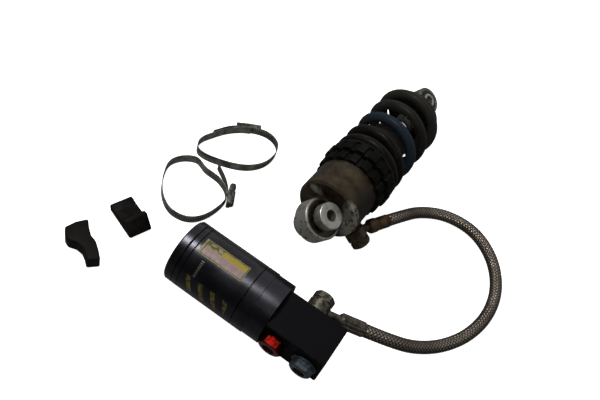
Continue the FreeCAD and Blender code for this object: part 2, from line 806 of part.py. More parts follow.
# Each pipe neck leaves its eye a little below the middle, in line with the hose's first run
route = [Vector(*point) for point in HOSE_ROUTE]
head_eye_middle = size.port_reach + size.washer_thickness + size.banjo_thickness / 2 - size.neck_drop
head_eye_centre = PORT.multVec(Vector(0, head_eye_middle.number, 0))
head_direction = (route[0] - head_eye_centre).normalize()
ferrule_back = size.head_neck_reach - size.ferrule_length
banjo_stack("head", PORT, size.port_reach, head_eye_centre, head_direction, ferrule_back,
            size.port_reach - bore_radius)

block_eye_middle = size.block_rear + size.washer_thickness + size.banjo_thickness / 2 - size.neck_drop
block_eye_centre = BLOCK_PORT.multVec(Vector(0, block_eye_middle.number, 0))
block_direction = (route[-1] - block_eye_centre).normalize()
fluted_back = size.block_neck_reach - size.fluted_length
banjo_stack("block", BLOCK_PORT, size.block_rear, block_eye_centre, block_direction, fluted_back,
            size.block_bolt_depth)

# Crimped ferrules on the hose's two ends
HEAD_FERRULE = frame_at(head_eye_centre, head_direction, Vector(0, 0, 1))
keep(turned("head_ferrule_turning", [
    (0, ferrule_back), (size.ferrule_radius - 1.5, ferrule_back),
    (size.ferrule_radius, ferrule_back + 2), (size.ferrule_radius, ferrule_back + 9),
    (size.ferrule_radius - 0.7, ferrule_back + 10), (size.ferrule_radius - 0.7, size.head_neck_reach - 1),
    (size.ferrule_radius - 1, size.head_neck_reach), (0, size.head_neck_reach),
], HEAD_FERRULE), "head_hose_ferrule")
BLOCK_FERRULE = frame_at(block_eye_centre, block_direction, Vector(0, 0, 1))
fluted = turned("fluted_turning", [
    (0, fluted_back), (size.fluted_radius - 1.5, fluted_back),
    (size.fluted_radius, fluted_back + 2), (size.fluted_radius, size.block_neck_reach - 1.5),
    (size.fluted_radius - 0.6, size.block_neck_reach), (0, size.block_neck_reach),
], BLOCK_FERRULE)
keep(notched(fluted, size.fluted_radius - 0.6, size.fluted_radius + 1, size.fluted_radius / 6, size.flutes),
     "block_hose_ferrule")

# Hose: one tube of straight runs joined by tangent arcs, lying on the bench between the ferrules
route = ([head_eye_centre + head_direction * size.head_neck_reach.number] + route
         + [block_eye_centre + block_direction * size.block_neck_reach.number])
edges = []
radii = []
here = route[0]
for before, corner, after in zip(route, route[1:], route[2:]):
    incoming = (corner - before).normalize()
    outgoing = (after - corner).normalize()
    half_turn = incoming.getAngle(outgoing) / 2
    reach = 0.45 * min((corner - before).Length, (after - corner).Length)
    radii.append(reach / math.tan(half_turn))
    begin = corner - incoming * reach
    finish = corner + outgoing * reach
    edges += [Part.LineSegment(here, begin).toShape(), arc_towards(begin, corner, finish)]
    here = finish
edges.append(Part.LineSegment(here, route[-1]).toShape())
hose_path = Part.Wire(edges)
hose_shape = swept(hose_path, route[0], head_direction, size.hose_radius.number)
keep(feature("hose", hose_shape), "braided_hose")
share = hose_shape.Volume / (math.pi * size.hose_radius.number ** 2 * hose_path.Length)
print(f"hose: length {hose_path.Length:.1f} mm, volume share {share:.4f}, radii",
      " ".join(f"{radius:.0f}" for radius in radii))

# Reservoir: a bored tube with a screwed cap at one end and the valve block at the other
groove = size.groove_depth


def grooved(place):
    """Three corners of a narrow groove turned into the outside of the tube."""
    return [
        (size.reservoir_radius, place - size.groove_width / 2),
        (size.reservoir_radius - groove, place),
        (size.reservoir_radius, place + size.groove_width / 2),
    ]


keep(turned("reservoir_turning",
            [(reservoir_bore, size.cap_length), (size.reservoir_radius - groove, size.cap_length),
             (size.reservoir_radius, size.cap_length + groove)]
            + grooved(size.second_groove) + grooved(size.third_groove)
            + [(size.reservoir_radius, size.reservoir_length), (reservoir_bore, size.reservoir_length)],
            RESERVOIR), "reservoir_tube")
keep(turned("cap_turning", [
    (size.gas_valve_radius, 4), (size.reservoir_radius - 8, 4), (size.reservoir_radius - 6, 0),
    (size.reservoir_radius - 1.5, 0), (size.reservoir_radius, 1.5),
    (size.reservoir_radius, size.cap_length - groove), (size.reservoir_radius - groove, size.cap_length),
    (reservoir_bore, size.cap_length),
    (reservoir_bore, size.cap_length + size.cap_plug),
    (size.gas_valve_radius, size.cap_length + size.cap_plug),
], RESERVOIR), "reservoir_end_cap")
keep(turned("gas_valve_turning", [
    (0, 2), (size.gas_valve_radius - 1, 2), (size.gas_valve_radius - 1, 4), (size.gas_valve_radius, 4),
    (size.gas_valve_radius, size.cap_length + size.cap_plug + size.gas_valve_reach),
    (0, size.cap_length + size.cap_plug + size.gas_valve_reach),
], RESERVOIR), "gas_valve")
floating_end = size.floating_place + size.floating_length
floating_radius = reservoir_bore - size.slip
floating_band = size.floating_place + size.floating_rim
floating_band_end = floating_band + size.floating_groove
keep(turned("floating_turning", [
    (0, floating_band), (reservoir_bore - size.floating_rim, floating_band),
    (reservoir_bore - size.floating_rim, size.floating_place), (reservoir_bore - 0.5, size.floating_place),
    (reservoir_bore - 0.5, floating_band), (reservoir_bore - size.seal_depth, floating_band),
    (reservoir_bore - size.seal_depth, floating_band_end), (reservoir_bore - 0.5, floating_band_end),
    (reservoir_bore - 0.5, floating_end), (0, floating_end),
], RESERVOIR), "floating_piston")
keep(tube("floating_seal", floating_radius, reservoir_bore - size.seal_depth, floating_band,
          floating_band_end, RESERVOIR), "floating_piston_seal")

# Valve block: a machined block whose round spigot closes the reservoir's oil end
width = size.block_front + size.block_rear
height = size.block_top + size.block_bottom
block_box = box("block_box", (-size.block_rear, size.block_start, -size.block_bottom),
                (width, size.block_end - size.block_start, height), BLOCK)
doc.recompute()
block_edges = doc.addObject("Part::Chamfer", "block_edges")
block_edges.Base = block_box
block_edges.Edges = [(number, size.block_chamfer.number, size.block_chamfer.number)
                     for number in range(1, 13)]
collar = rod("collar", collar_radius, size.reservoir_length,
             size.block_start + size.block_chamfer / 2, BLOCK)
collar_plug = rod("collar_plug", reservoir_bore, size.reservoir_length - 8, size.reservoir_length, BLOCK)
block_blank = fused("block_blank", [block_edges, collar, collar_plug])
oil_way = rod("oil_way", 7, size.reservoir_length - 9, size.blue_place, BLOCK)
cartridge_start = size.block_front - size.cartridge_depth
pockets = [rod(f"{label}_pocket", size.cartridge_radius, cartridge_start, size.block_front + 1, frame)
           for label, frame in (("red", RED), ("blue", BLUE))]
bolt_pocket = rod("bolt_pocket", size.banjo_bolt, size.block_rear - size.block_bolt_depth,
                  size.block_rear + 1, BLOCK_PORT)
keep(cut("block_cut", block_blank, [oil_way, bolt_pocket] + pockets), "valve_block")


def adjuster(name, frame, flange_radius, width):
    """A hexagonal adjuster: its cartridge stays in the block, its hexagon turns outside it."""
    face = size.block_front
    keep(rod(name + "_cartridge_bar", size.cartridge_radius, cartridge_start, face - size.seat_gap, frame),
         name + "_speed_cartridge")
    hex_start = face + size.knob_step
    flange = rod(name + "_flange", flange_radius, face + size.seat_gap, hex_start, frame)
    bar = hexagon(name + "_bar", width, hex_start, size.knob_height, frame)
    crown = turned(name + "_crown", [
        (0, hex_start - 1), (width * 0.6, hex_start - 1),
        (width * 0.6, hex_start + size.knob_height - 1.5),
        (width * 0.45, hex_start + size.knob_height),
        (0, hex_start + size.knob_height),
    ], frame)
    knob = fused(name + "_knob_blank", [flange, common(name + "_knob_head", bar, crown)])
    well = rod(name + "_well", size.knob_screw + size.slip, hex_start,
               hex_start + size.knob_height + 1, frame)
    keep(cut(name + "_knob_cut", knob, [well]), name + "_speed_adjuster")
    screw_end = hex_start + size.knob_height - size.edge_break
    screw = rod(name + "_screw_bar", size.knob_screw, hex_start + size.seat_gap, screw_end, frame)
    slot = box(name + "_slot", (-size.knob_screw, screw_end - size.slot_depth, -size.slot_width / 2),
               (2 * size.knob_screw, size.slot_depth + 1, size.slot_width), frame)
    keep(cut(name + "_screw_cut", screw, [slot]), name + "_speed_screw")


adjuster("high", RED, size.red_width / 2, size.red_width)
adjuster("low", BLUE, size.blue_collar, size.blue_width)


# Clamps of the reservoir: thin steel bands standing on edge, each with its worm housing
def clamp(prefix, loop, tail):
    """One worm-drive band: it starts under the screw housing, goes round, passes back
    between its own start and the screw, and ends in a free tail."""
    band = size.clamp_band.number
    lap = band + size.seat_gap.number / 2
    points = [Vector(x, y, FLOOR) for x, y in loop]
    count = len(points)
    directions = [(points[(i + 1) % count] - points[i - 1]).normalize() for i in range(count)]
    outward = directions[0].cross(Vector(0, 0, 1))
    points += [points[0] + outward * lap] + [Vector(x, y, FLOOR) for x, y in tail]
    directions.append(directions[0])
    for place in range(count + 1, len(points)):
        directions.append((points[min(place + 1, len(points) - 1)] - points[place - 1]).normalize())
    inner = arc_path(points, directions)
    outer_points = [point + way.cross(Vector(0, 0, 1)) * band for point, way in zip(points, directions)]
    outer = arc_path(outer_points, directions)
    ends = [Part.LineSegment(points[end], outer_points[end]).toShape() for end in (0, -1)]
    flat = Part.Face(Part.Wire([ends[0]] + outer.Edges + [ends[1]] + inner.Edges[::-1]))
    keep(feature(prefix + "_band", flat.extrude(Vector(0, 0, size.clamp_width.number))),
         prefix + "_clamp_band")
    middle = Vector(0, 0, size.clamp_width.number / 2)
    frame = frame_at(points[count] + middle, directions[0], Vector(0, 0, 1))
    half = size.clamp_housing_length / 2
    saddle_start = size.clamp_band + size.seat_gap
    barrel_radius = size.clamp_screw_radius + size.edge_break
    screw_line = shift(saddle_start + barrel_radius, 0, 0)
    saddle = box(prefix + "_saddle", (saddle_start, -half, -size.clamp_housing_height / 2),
                 (barrel_radius, size.clamp_housing_length, size.clamp_housing_height), frame)
    barrel = rod(prefix + "_barrel", barrel_radius, -half, half - 4, frame * screw_line, 0.5)
    channel = rod(prefix + "_channel", size.clamp_screw_radius + size.slip, -half - 1, half + 1,
                  frame * screw_line)
    keep(cut(prefix + "_housing_cut", fused(prefix + "_housing_blank", [saddle, barrel]), [channel]),
         prefix + "_clamp_housing")
    head_start = half + size.seat_gap
    head_hex = hexagon(prefix + "_screw_hex", 2 * size.clamp_screw_radius, head_start, size.screw_head,
                       frame * screw_line)
    worm = rod(prefix + "_worm", size.clamp_screw_radius, -half + 1, head_start, frame * screw_line)
    slit_start = head_start + size.screw_head - size.slot_depth
    slit = box(prefix + "_slit", (-size.clamp_screw_radius - 1, slit_start, -size.slot_width / 2),
               (2 * size.clamp_screw_radius + 2, size.slot_depth + 1, size.slot_width), frame * screw_line)
    keep(cut(prefix + "_screw_cut", fused(prefix + "_screw_blank", [worm, head_hex]), [slit]),
         prefix + "_clamp_screw")


clamp("front", FRONT_CLAMP, FRONT_TAIL)
clamp("rear", REAR_CLAMP, REAR_TAIL)


# Rubber pads that sit between the reservoir, its clamps and the frame
def pad(name, role, outline, height, both_sides, place):
    """One pad: an outline on a plane of its body, made as thick as its height."""
    body = doc.addObject("PartDesign::Body", name + "_body")
    sketch = new_sketch(body, role)
    polygon(sketch, outline)
    bar = body.newObject("PartDesign::Pad", "bar")
    bar.Profile = sketch
    bind(bar, "Length", height)
    bar.Midplane = both_sides
    body.Placement = place
    keep(body, name)


length = size.pad_length
tall = size.pad_height
pad("front_saddle_pad", "XZ_Plane", [
    (length * 0.04, 0), (length * 0.92, 0), (length, tall * 0.16), (length * 0.72, tall),
    (length * 0.62, tall * 0.92), (length * 0.51, tall * 0.5), (length * 0.24, tall * 0.46),
    (length * 0.05, tall * 0.54), (0, tall * 0.42),
], size.pad_width, True, Placement(Vector(-167.1, -98.4, FLOOR), Rotation(Vector(0, 0, 1), -18)))
pad("rear_saddle_pad", "XY_Plane", FLAT_PAD, size.flat_pad_height, False, shift(0, 0, FLOOR))

# Check every object, then write each sub-part
doc.recompute()
faults = [thing.Name for thing in doc.Objects if {"Invalid", "Error"} & set(thing.State)]
for thing in exports:
    if thing.Shape.isNull() or not thing.Shape.isValid() or not thing.Shape.Solids:
        faults.append(thing.Label)
if faults:
    raise SystemExit("failed: " + ", ".join(sorted(set(faults))))
for thing in exports:
    thing.Shape.exportStep(f"parts/{thing.Label}.step")
print(f"{len(exports)} sub-parts written")
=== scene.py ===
# Motorcycle rear shock absorber: a coil spring over a damper, with a remote reservoir on a
# braided hose, and the clamps and saddle pads that hold the reservoir to the frame.
import math

import bmesh
import bpy
import numpy as np
from mathutils import Matrix, Vector


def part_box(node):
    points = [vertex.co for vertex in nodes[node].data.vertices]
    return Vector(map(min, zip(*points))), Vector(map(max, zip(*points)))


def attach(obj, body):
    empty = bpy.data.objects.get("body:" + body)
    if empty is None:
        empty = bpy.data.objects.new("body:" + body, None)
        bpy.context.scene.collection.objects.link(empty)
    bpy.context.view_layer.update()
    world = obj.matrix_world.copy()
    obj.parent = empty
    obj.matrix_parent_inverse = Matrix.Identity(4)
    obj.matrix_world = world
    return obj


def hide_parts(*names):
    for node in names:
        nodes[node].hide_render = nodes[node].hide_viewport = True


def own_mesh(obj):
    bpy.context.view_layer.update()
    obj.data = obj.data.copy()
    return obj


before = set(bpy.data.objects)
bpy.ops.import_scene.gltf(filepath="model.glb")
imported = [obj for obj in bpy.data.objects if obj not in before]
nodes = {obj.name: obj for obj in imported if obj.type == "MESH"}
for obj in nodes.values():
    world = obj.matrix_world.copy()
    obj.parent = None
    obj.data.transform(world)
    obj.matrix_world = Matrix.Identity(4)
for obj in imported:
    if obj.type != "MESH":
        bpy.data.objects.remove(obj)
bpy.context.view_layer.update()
scene = bpy.context.scene

# The bench and the light: a level white surface under one soft lamp, with a weaker lamp by the
# camera and a pale room. Bright finishes mirror a dim bench, and a room that is light behind the
# parts and dim on the camera's side.
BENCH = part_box("reservoir_tube")[0].z
BENCH_REACH = 3
BENCH_WHITE = 0.8
BENCH_MIRRORED = 0.16
GLOW = 0.9
GLOW_MIRRORED = 0.03
ROOM_LIGHT = 0.35


def in_scene(name, data):
    """An object that shows a mesh, a curve, a lamp or a camera, put in the scene."""
    thing = bpy.data.objects.new(name, data)
    scene.collection.objects.link(thing)
    return thing


def add(tree, kind, settings=(), **links):
    """A node with its settings, its inputs linked or set by name, spaces written as underlines.
    An input that shares its name with another goes by i and its number."""
    node = tree.nodes.new("ShaderNode" + kind)
    for key, value in dict(settings).items():
        setattr(node, key, value)
    for key, value in links.items():
        socket = node.inputs[int(key[1:])] if key[1:].isdigit() else node.inputs[key.replace("_", " ")]
        if isinstance(value, bpy.types.NodeSocket):
            tree.links.new(value, socket)
        else:
            socket.default_value = value
    return node


def maths(tree, operation, *values):
    """The result of a Math node on one to three numbers or sockets."""
    inputs = {f"i{number}": value for number, value in enumerate(values)}
    return add(tree, "Math", {"operation": operation}, **inputs).outputs[0]


def ramp(tree, value, start, end, low=0.0, high=1.0):
    """A value's straight climb or fall from low at start to high at end, level beyond them."""
    return add(tree, "MapRange", Value=value, From_Min=start, From_Max=end,
               To_Min=low, To_Max=high).outputs[0]


def coordinates(tree, kind="Object"):
    """Where a point lies: on its object in metres, on its UV map, or its direction in the room."""
    return add(tree, "TexCoord").outputs[kind]


def seen_directly(tree, mirrored):
    """A value that is 1 for rays from the camera or through glass, 0 for light, and for a
    mirror's rays the number or socket given."""
    path = add(tree, "LightPath")
    value = maths(tree, "MULTIPLY", path.outputs["Is Glossy Ray"], mirrored)
    for kind in ("Is Camera Ray", "Is Transmission Ray"):
        value = maths(tree, "ADD", value, path.outputs[kind])
    return value


bench_mesh = bpy.data.meshes.new("bench")
bench_mesh.from_pydata([(-BENCH_REACH, -BENCH_REACH, BENCH), (BENCH_REACH, -BENCH_REACH, BENCH),
                        (BENCH_REACH, BENCH_REACH, BENCH), (-BENCH_REACH, BENCH_REACH, BENCH)],
                       [], [(0, 1, 2, 3)])
bench = in_scene("bench", bench_mesh)
bench_paint = bpy.data.materials.new("bench_paint")
bench_paint.use_nodes = True
tree = bench_paint.node_tree
tree.nodes.clear()
glossy = add(tree, "LightPath").outputs["Is Glossy Ray"]
lit = add(tree, "BsdfDiffuse", Color=ramp(tree, glossy, 0, 1, BENCH_WHITE, BENCH_MIRRORED))
glow = add(tree, "Emission", Strength=maths(tree, "MULTIPLY", seen_directly(tree, GLOW_MIRRORED), GLOW))
both = add(tree, "AddShader", i0=lit.outputs[0], i1=glow.outputs[0])
add(tree, "OutputMaterial", Surface=both.outputs[0])
bench_mesh.materials.append(bench_paint)

room = bpy.data.worlds.new("room")
scene.world = room
room.use_nodes = True
tree = room.node_tree
background = tree.nodes["Background"]
background.inputs["Color"].default_value = (1, 1, 1, 1)
away = add(tree, "SeparateXYZ", Vector=coordinates(tree, "Generated")).outputs["Y"]
mirrored = ramp(tree, away, -0.35, 0.6, low=-0.4, high=0.7)
raised = add(tree, "MapRange", {"clamp": False}, Value=seen_directly(tree, mirrored), To_Min=ROOM_LIGHT)
tree.links.new(raised.outputs[0], background.inputs["Strength"])


def lamp(name, place, size, power):
    """A square soft lamp at a place, facing the upper eye."""
    light = bpy.data.lights.new(name, "AREA")
    light.size = size
    light.energy = power
    thing = in_scene(name, light)
    thing.location = place
    thing.rotation_euler = (-Vector(place)).to_track_quat("-Z", "Y").to_euler()


lamp("overhead_lamp", place=(-0.36, -0.1, 1.0), size=0.26, power=9)
lamp("camera_lamp", place=(0.25, -0.75, 0.9), size=0.35, power=1.6)

# The camera stands over the reservoir's side and looks down on the parts, as in the photograph
scene.view_settings.view_transform = "Standard"
lens = bpy.data.cameras.new("camera")
lens.lens = 42
lens.sensor_width = 36
camera = in_scene("camera", lens)
right, up, back = (0.7985, 0.5495, 0.2468), (-0.5762, 0.5759, 0.5798), (0.1764, -0.6055, 0.7767)
stand = (0.09815, -0.42133, 0.55043)
camera.matrix_world = Matrix([*zip(right, up, back, stand), (0, 0, 0, 1)])
scene.camera = camera

# Braided hose: a rubber liner under woven stainless braid, crimped into a ferrule at each end.
# Nine flat bundles of wire run each way round it and pass over and under each other.
HOSE_ROUTE = [
    (0.0534, 0.0725, -0.0227), (0.062, 0.0889, -0.0224), (0.0745, 0.119, -0.032),
    (0.101, 0.1405, -0.0343), (0.137, 0.1445, -0.0343), (0.169, 0.1255, -0.0343),
    (0.189, 0.094, -0.0343), (0.195, 0.0575, -0.0343), (0.1885, 0.0215, -0.0343),
    (0.1725, -0.009, -0.034), (0.1505, -0.034, -0.0285), (0.1264, -0.0542, -0.0144),
    (0.1005, -0.065, -0.0096),
]
HOSE_RADIUS = 0.0067
LINER_RADIUS = HOSE_RADIUS - 0.0005
BUNDLES = 9
LAY = math.radians(51)
HALF_BUNDLE = 0.00105
BUNDLE_EDGE = 0.00016
BUNDLE_RADIUS = HOSE_RADIUS - 0.00026
BUNDLE_SWING = 0.00018
BRAID_STEP = 0.00055
BRAID_END = 0.0003
WIRE_RIPPLE = 15.7


def tone(red, green, blue):
    """A colour given as it shows on a screen, 0 to 255, made linear."""
    shares = np.array([red, green, blue]) / 255
    return (*np.where(shares <= 0.04045, shares / 12.92, ((shares + 0.055) / 1.055) ** 2.4), 1)


def surface(name, grid, closed_u=False, closed_v=False, uv=None, caps=False):
    """A mesh of quads over a grid of points (u, v, 3). A closed direction joins its last row to
    its first, and caps close the two ends of u with a fan. uv gives two numbers for each point."""
    rows, columns = grid.shape[:2]
    u = np.arange(rows if closed_u else rows - 1)
    v = np.arange(columns if closed_v else columns - 1)
    first, second = np.meshgrid(u, v, indexing="ij")
    next_u, next_v = (first + 1) % rows, (second + 1) % columns
    quads = np.stack([first * columns + second, next_u * columns + second,
                      next_u * columns + next_v, first * columns + next_v], -1).reshape(-1, 4)
    points = grid.reshape(-1, 3)
    faces = quads.tolist()
    if caps:
        ends = np.arange(columns)
        centres = len(points) + np.arange(2)
        points = np.vstack([points, grid[0].mean(0), grid[-1].mean(0)])
        following = (ends + 1) % columns
        faces += np.stack([ends, following, np.full(columns, centres[0])], -1).tolist()
        last = (rows - 1) * columns
        faces += np.stack([last + following, last + ends, np.full(columns, centres[1])], -1).tolist()
    mesh = bpy.data.meshes.new(name)
    mesh.from_pydata(points.tolist(), [], faces)
    mesh.polygons.foreach_set("use_smooth", np.ones(len(mesh.polygons), bool))
    if uv is not None:
        flat = uv.reshape(-1, 2)
        if caps:
            flat = np.vstack([flat, uv[0].mean(0), uv[-1].mean(0)])
        layer = mesh.uv_layers.new(name="UVMap")
        corners = np.zeros(len(mesh.loops), np.int32)
        mesh.loops.foreach_get("vertex_index", corners)
        layer.data.foreach_set("uv", flat[corners].astype(np.float32).ravel())
    mesh.update()
    return in_scene(name, mesh)


def joined(name, things):
    """Several meshes that each have a UV map, as one piece."""
    points, faces, uvs, count = [], [], [], 0
    for thing in things:
        mesh = thing.data
        places = np.zeros(len(mesh.vertices) * 3)
        mesh.vertices.foreach_get("co", places)
        points.append(places.reshape(-1, 3))
        faces += [[corner + count for corner in face.vertices] for face in mesh.polygons]
        flat = np.zeros(len(mesh.loops) * 2)
        mesh.uv_layers[0].data.foreach_get("uv", flat)
        uvs.append(flat)
        count += len(mesh.vertices)
        bpy.data.objects.remove(thing)
    mesh = bpy.data.meshes.new(name)
    mesh.from_pydata(np.vstack(points).tolist(), [], faces)
    mesh.polygons.foreach_set("use_smooth", np.ones(len(mesh.polygons), bool))
    mesh.uv_layers.new(name="UVMap").data.foreach_set("uv", np.concatenate(uvs).astype(np.float32))
    return in_scene(name, mesh)


def along_line(points, places):
    """Points, directions, sides and normals at places along a line, in metres from its start.
    The side keeps level with the bench, so nothing laid round the line twists."""
    run = np.concatenate([[0], np.cumsum(np.linalg.norm(np.diff(points, axis=0), axis=1))])
    small = 0.002

    def at(where):
        return np.stack([np.interp(where, run, points[:, axis]) for axis in range(3)], -1)

    ahead = at(np.clip(places + small, 0, run[-1])) - at(np.clip(places - small, 0, run[-1]))
    ahead /= np.linalg.norm(ahead, axis=1, keepdims=True)
    side = np.cross(ahead, (0, 0, 1))
    side /= np.linalg.norm(side, axis=1, keepdims=True)
    return at(places), ahead, side, np.cross(side, ahead)


def round_wall(centre, side, rise, radius, turn):
    """Circles of points round a path, each at centre + radius * (side * cos + rise * sin)."""
    turn = turn[None, :, None]
    return centre[:, None] + radius * (side[:, None] * np.cos(turn) + rise[:, None] * np.sin(turn))


line = bpy.data.curves.new("hose_line", "CURVE")
line.dimensions = "3D"
line.resolution_u = 24
spline = line.splines.new("NURBS")
spline.points.add(len(HOSE_ROUTE) - 1)
for point, place in zip(spline.points, HOSE_ROUTE):
    point.co = (*place, 1)
spline.order_u = 3
spline.use_endpoint_u = True
line_object = in_scene("hose_line", line)
line_mesh = bpy.data.meshes.new_from_object(line_object)
hose_points = np.array([vertex.co for vertex in line_mesh.vertices])
bpy.data.objects.remove(line_object)
hose_length = np.linalg.norm(np.diff(hose_points, axis=0), axis=1).sum()
centre, ahead, side, rise = along_line(hose_points, np.linspace(0, hose_length, 260))
turn = np.linspace(0, 2 * np.pi, 24, endpoint=False)
liner = surface("hose_liner", round_wall(centre, side, rise, LINER_RADIUS, turn), closed_v=True, caps=True)

# Each bundle is a thin ribbon on a helix. Its height swings as a cosine, once over and once
# under for each two bundles that it meets, so it goes over one and under the next.
pitch = 2 * math.pi * HOSE_RADIUS / math.tan(LAY)
places = np.linspace(BRAID_END, hose_length - BRAID_END, int(hose_length / BRAID_STEP))
centre, ahead, side, rise = along_line(hose_points, places)
offsets = np.array([-1.0, -0.5, 0.5, 1.0])
drop = np.array([BUNDLE_EDGE, 0.0, 0.0, BUNDLE_EDGE])
ribbons = []
for hand in (1, -1):
    for bundle in range(BUNDLES):
        angle = hand * (2 * math.pi * places / pitch + 2 * math.pi * bundle / BUNDLES)
        crown = hand * np.cos(2 * math.pi * BUNDLES * places / pitch)
        outward = side * np.cos(angle)[:, None] + rise * np.sin(angle)[:, None]
        around = -side * np.sin(angle)[:, None] + rise * np.cos(angle)[:, None]
        across = np.cross(outward, ahead * math.cos(LAY) + around * hand * math.sin(LAY))
        middle = centre + outward * (BUNDLE_RADIUS + BUNDLE_SWING * crown)[:, None]
        ribbon = (middle[:, None] + across[:, None] * (offsets * HALF_BUNDLE)[None, :, None]
                  - outward[:, None] * drop[None, :, None])
        uv = np.stack(np.broadcast_arrays(offsets[None, :], crown[:, None]), -1)
        ribbons.append(surface(f"bundle_{hand}_{bundle}", ribbon[:, ::-1] if hand > 0 else ribbon, uv=uv))
braid = joined("hose_braid", ribbons)


def group(name, inputs, outputs):
    """An empty shader group, with its numbers' names and start values and its outputs' kinds."""
    made = bpy.data.node_groups.new(name, "ShaderNodeTree")
    for title, start in inputs.items():
        socket = made.interface.new_socket(title, in_out="INPUT", socket_type="NodeSocketFloat")
        socket.default_value = start
    for title, kind in outputs.items():
        made.interface.new_socket(title, in_out="OUTPUT", socket_type="NodeSocket" + kind)
    return made, made.nodes.new("NodeGroupInput"), made.nodes.new("NodeGroupOutput")


def mixed(tree, share, first, second):
    """The first colour where share is 0, the second where it is 1."""
    return add(tree, "Mix", {"data_type": "RGBA"}, i0=share, i6=first, i7=second).outputs[2]


# Uneven finish: slow clouds and fast specks of noise added up, as on metal that has aged
mottle, goes_in, goes_out = group("mottle", {"Size": 0.01, "Low": 0.4, "High": 0.6}, {"Value": "Float"})
often = maths(mottle, "DIVIDE", 1.0, goes_in.outputs["Size"])
clouds = add(mottle, "TexNoise", Vector=coordinates(mottle), Scale=often, Detail=6.0, Roughness=0.62)
ranged = ramp(mottle, clouds.outputs[0], goes_in.outputs["Low"], goes_in.outputs["High"])
mottle.links.new(ranged, goes_out.inputs["Value"])

# Worn edges: where a rounded normal leaves the flat one there is an edge, broken up by noise
wear, goes_in, goes_out = group("wear", {"Width": 0.0006, "Amount": 0.5},
                                {"Mask": "Float", "Normal": "Vector"})
rounded = add(wear, "Bevel", {"samples": 4}, Radius=goes_in.outputs["Width"]).outputs[0]
flat = add(wear, "NewGeometry").outputs["Normal"]
facing = add(wear, "VectorMath", {"operation": "DOT_PRODUCT"}, i0=rounded, i1=flat).outputs["Value"]
chips = add(wear, "TexNoise", Vector=coordinates(wear), Scale=420.0, Detail=4.0).outputs[0]
left = maths(wear, "SUBTRACT", 1.0, goes_in.outputs["Amount"])
kept = ramp(wear, chips, left, maths(wear, "ADD", left, 0.12))
mask = maths(wear, "MULTIPLY", ramp(wear, facing, 0.995, 0.80), kept)
wear.links.new(mask, goes_out.inputs["Mask"])
wear.links.new(rounded, goes_out.inputs["Normal"])


def mottled(tree, size, low, high):
    """A mask of clouds of a size: 0 where the noise is under low, 1 where it is over high."""
    return add(tree, "Group", {"node_tree": mottle}, Size=size, Low=low, High=high).outputs[0]


def aged(name, dark, light, worn, size, metal=0.0, rough=(0.4, 0.6), specular=0.3, width=0.0006,
         amount=0.5, low=0.4, high=0.62, grain=0.15, grain_size=0.0006):
    """A finish whose colour and gloss wander between two in clouds of a size, whose edges are
    worn to a third colour over a width and by an amount, and whose skin has a fine grain."""
    material = bpy.data.materials.new(name)
    material.use_nodes = True
    tree = material.node_tree
    shader = tree.nodes["Principled BSDF"]
    shader.inputs["Metallic"].default_value = metal
    shader.inputs["Specular IOR Level"].default_value = specular
    clouds = mottled(tree, size, low, high)
    edges = add(tree, "Group", {"node_tree": wear}, Width=width, Amount=amount)
    painted = mixed(tree, clouds, tone(*dark), tone(*light))
    colour = mixed(tree, edges.outputs["Mask"], painted, tone(*worn))
    fine = add(tree, "TexNoise", Vector=coordinates(tree), Scale=1 / grain_size, Detail=3.0)
    bump = add(tree, "Bump", Strength=grain, Distance=0.0002, Height=fine.outputs[0],
               Normal=edges.outputs["Normal"])
    tree.links.new(colour, shader.inputs["Base Color"])
    tree.links.new(ramp(tree, clouds, 0, 1, *rough), shader.inputs["Roughness"])
    tree.links.new(bump.outputs[0], shader.inputs["Normal"])
    return material


def dress(material, *names):
    """Gives a finish to CAD nodes by name, or to new pieces."""
    for name in names:
        thing = nodes[name] if isinstance(name, str) else name
        thing.data.materials.clear()
        thing.data.materials.append(material)


# The wires of a bundle show as fine ridges along it. Painted shade darkens the grooves between wires and the
# places where a bundle dips under another, and clouds of dirt dull it.
braid_metal = bpy.data.materials.new("braid_wire")
braid_metal.use_nodes = True
tree = braid_metal.node_tree
shader = tree.nodes["Principled BSDF"]
shader.inputs["Metallic"].default_value = 1
shader.inputs["Roughness"].default_value = 0.3
uv = add(tree, "SeparateXYZ", Vector=coordinates(tree, "UV"))
wires = maths(tree, "SINE", maths(tree, "MULTIPLY", uv.outputs[0], WIRE_RIPPLE))
ridge = ramp(tree, wires, -1.0, 1.0, low=0.6)
crown = ramp(tree, uv.outputs[1], -0.1, 0.9)
wire_tone = mixed(tree, maths(tree, "MULTIPLY", ridge, crown), tone(36, 31, 27), tone(172, 160, 146))
dirtied = mixed(tree, 0.5, tone(52, 47, 41), wire_tone)
wire_tone = mixed(tree, mottled(tree, 0.03, 0.3, 0.6), dirtied, wire_tone)
# Painted shade: the braid is painted darker where its surface turns away from the camera, towards the hose's
# outline.
aslant = add(tree, "LayerWeight", Blend=0.5).outputs["Facing"]
shaded = mixed(tree, ramp(tree, aslant, 0.08, 0.6, high=0.92), wire_tone, tone(42, 37, 32))
bump = add(tree, "Bump", Strength=0.5, Distance=0.0001, Height=wires)
tree.links.new(shaded, shader.inputs["Base Color"])
tree.links.new(bump.outputs[0], shader.inputs["Normal"])
dress(braid_metal, braid)
liner_dark = aged("liner_dark", (9, 8, 7), (20, 17, 14), (20, 17, 14), 0.004, rough=(0.7, 0.9), specular=0.1)
dress(liner_dark, liner)
for piece in (liner, braid):
    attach(piece, "root")
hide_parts("braided_hose")
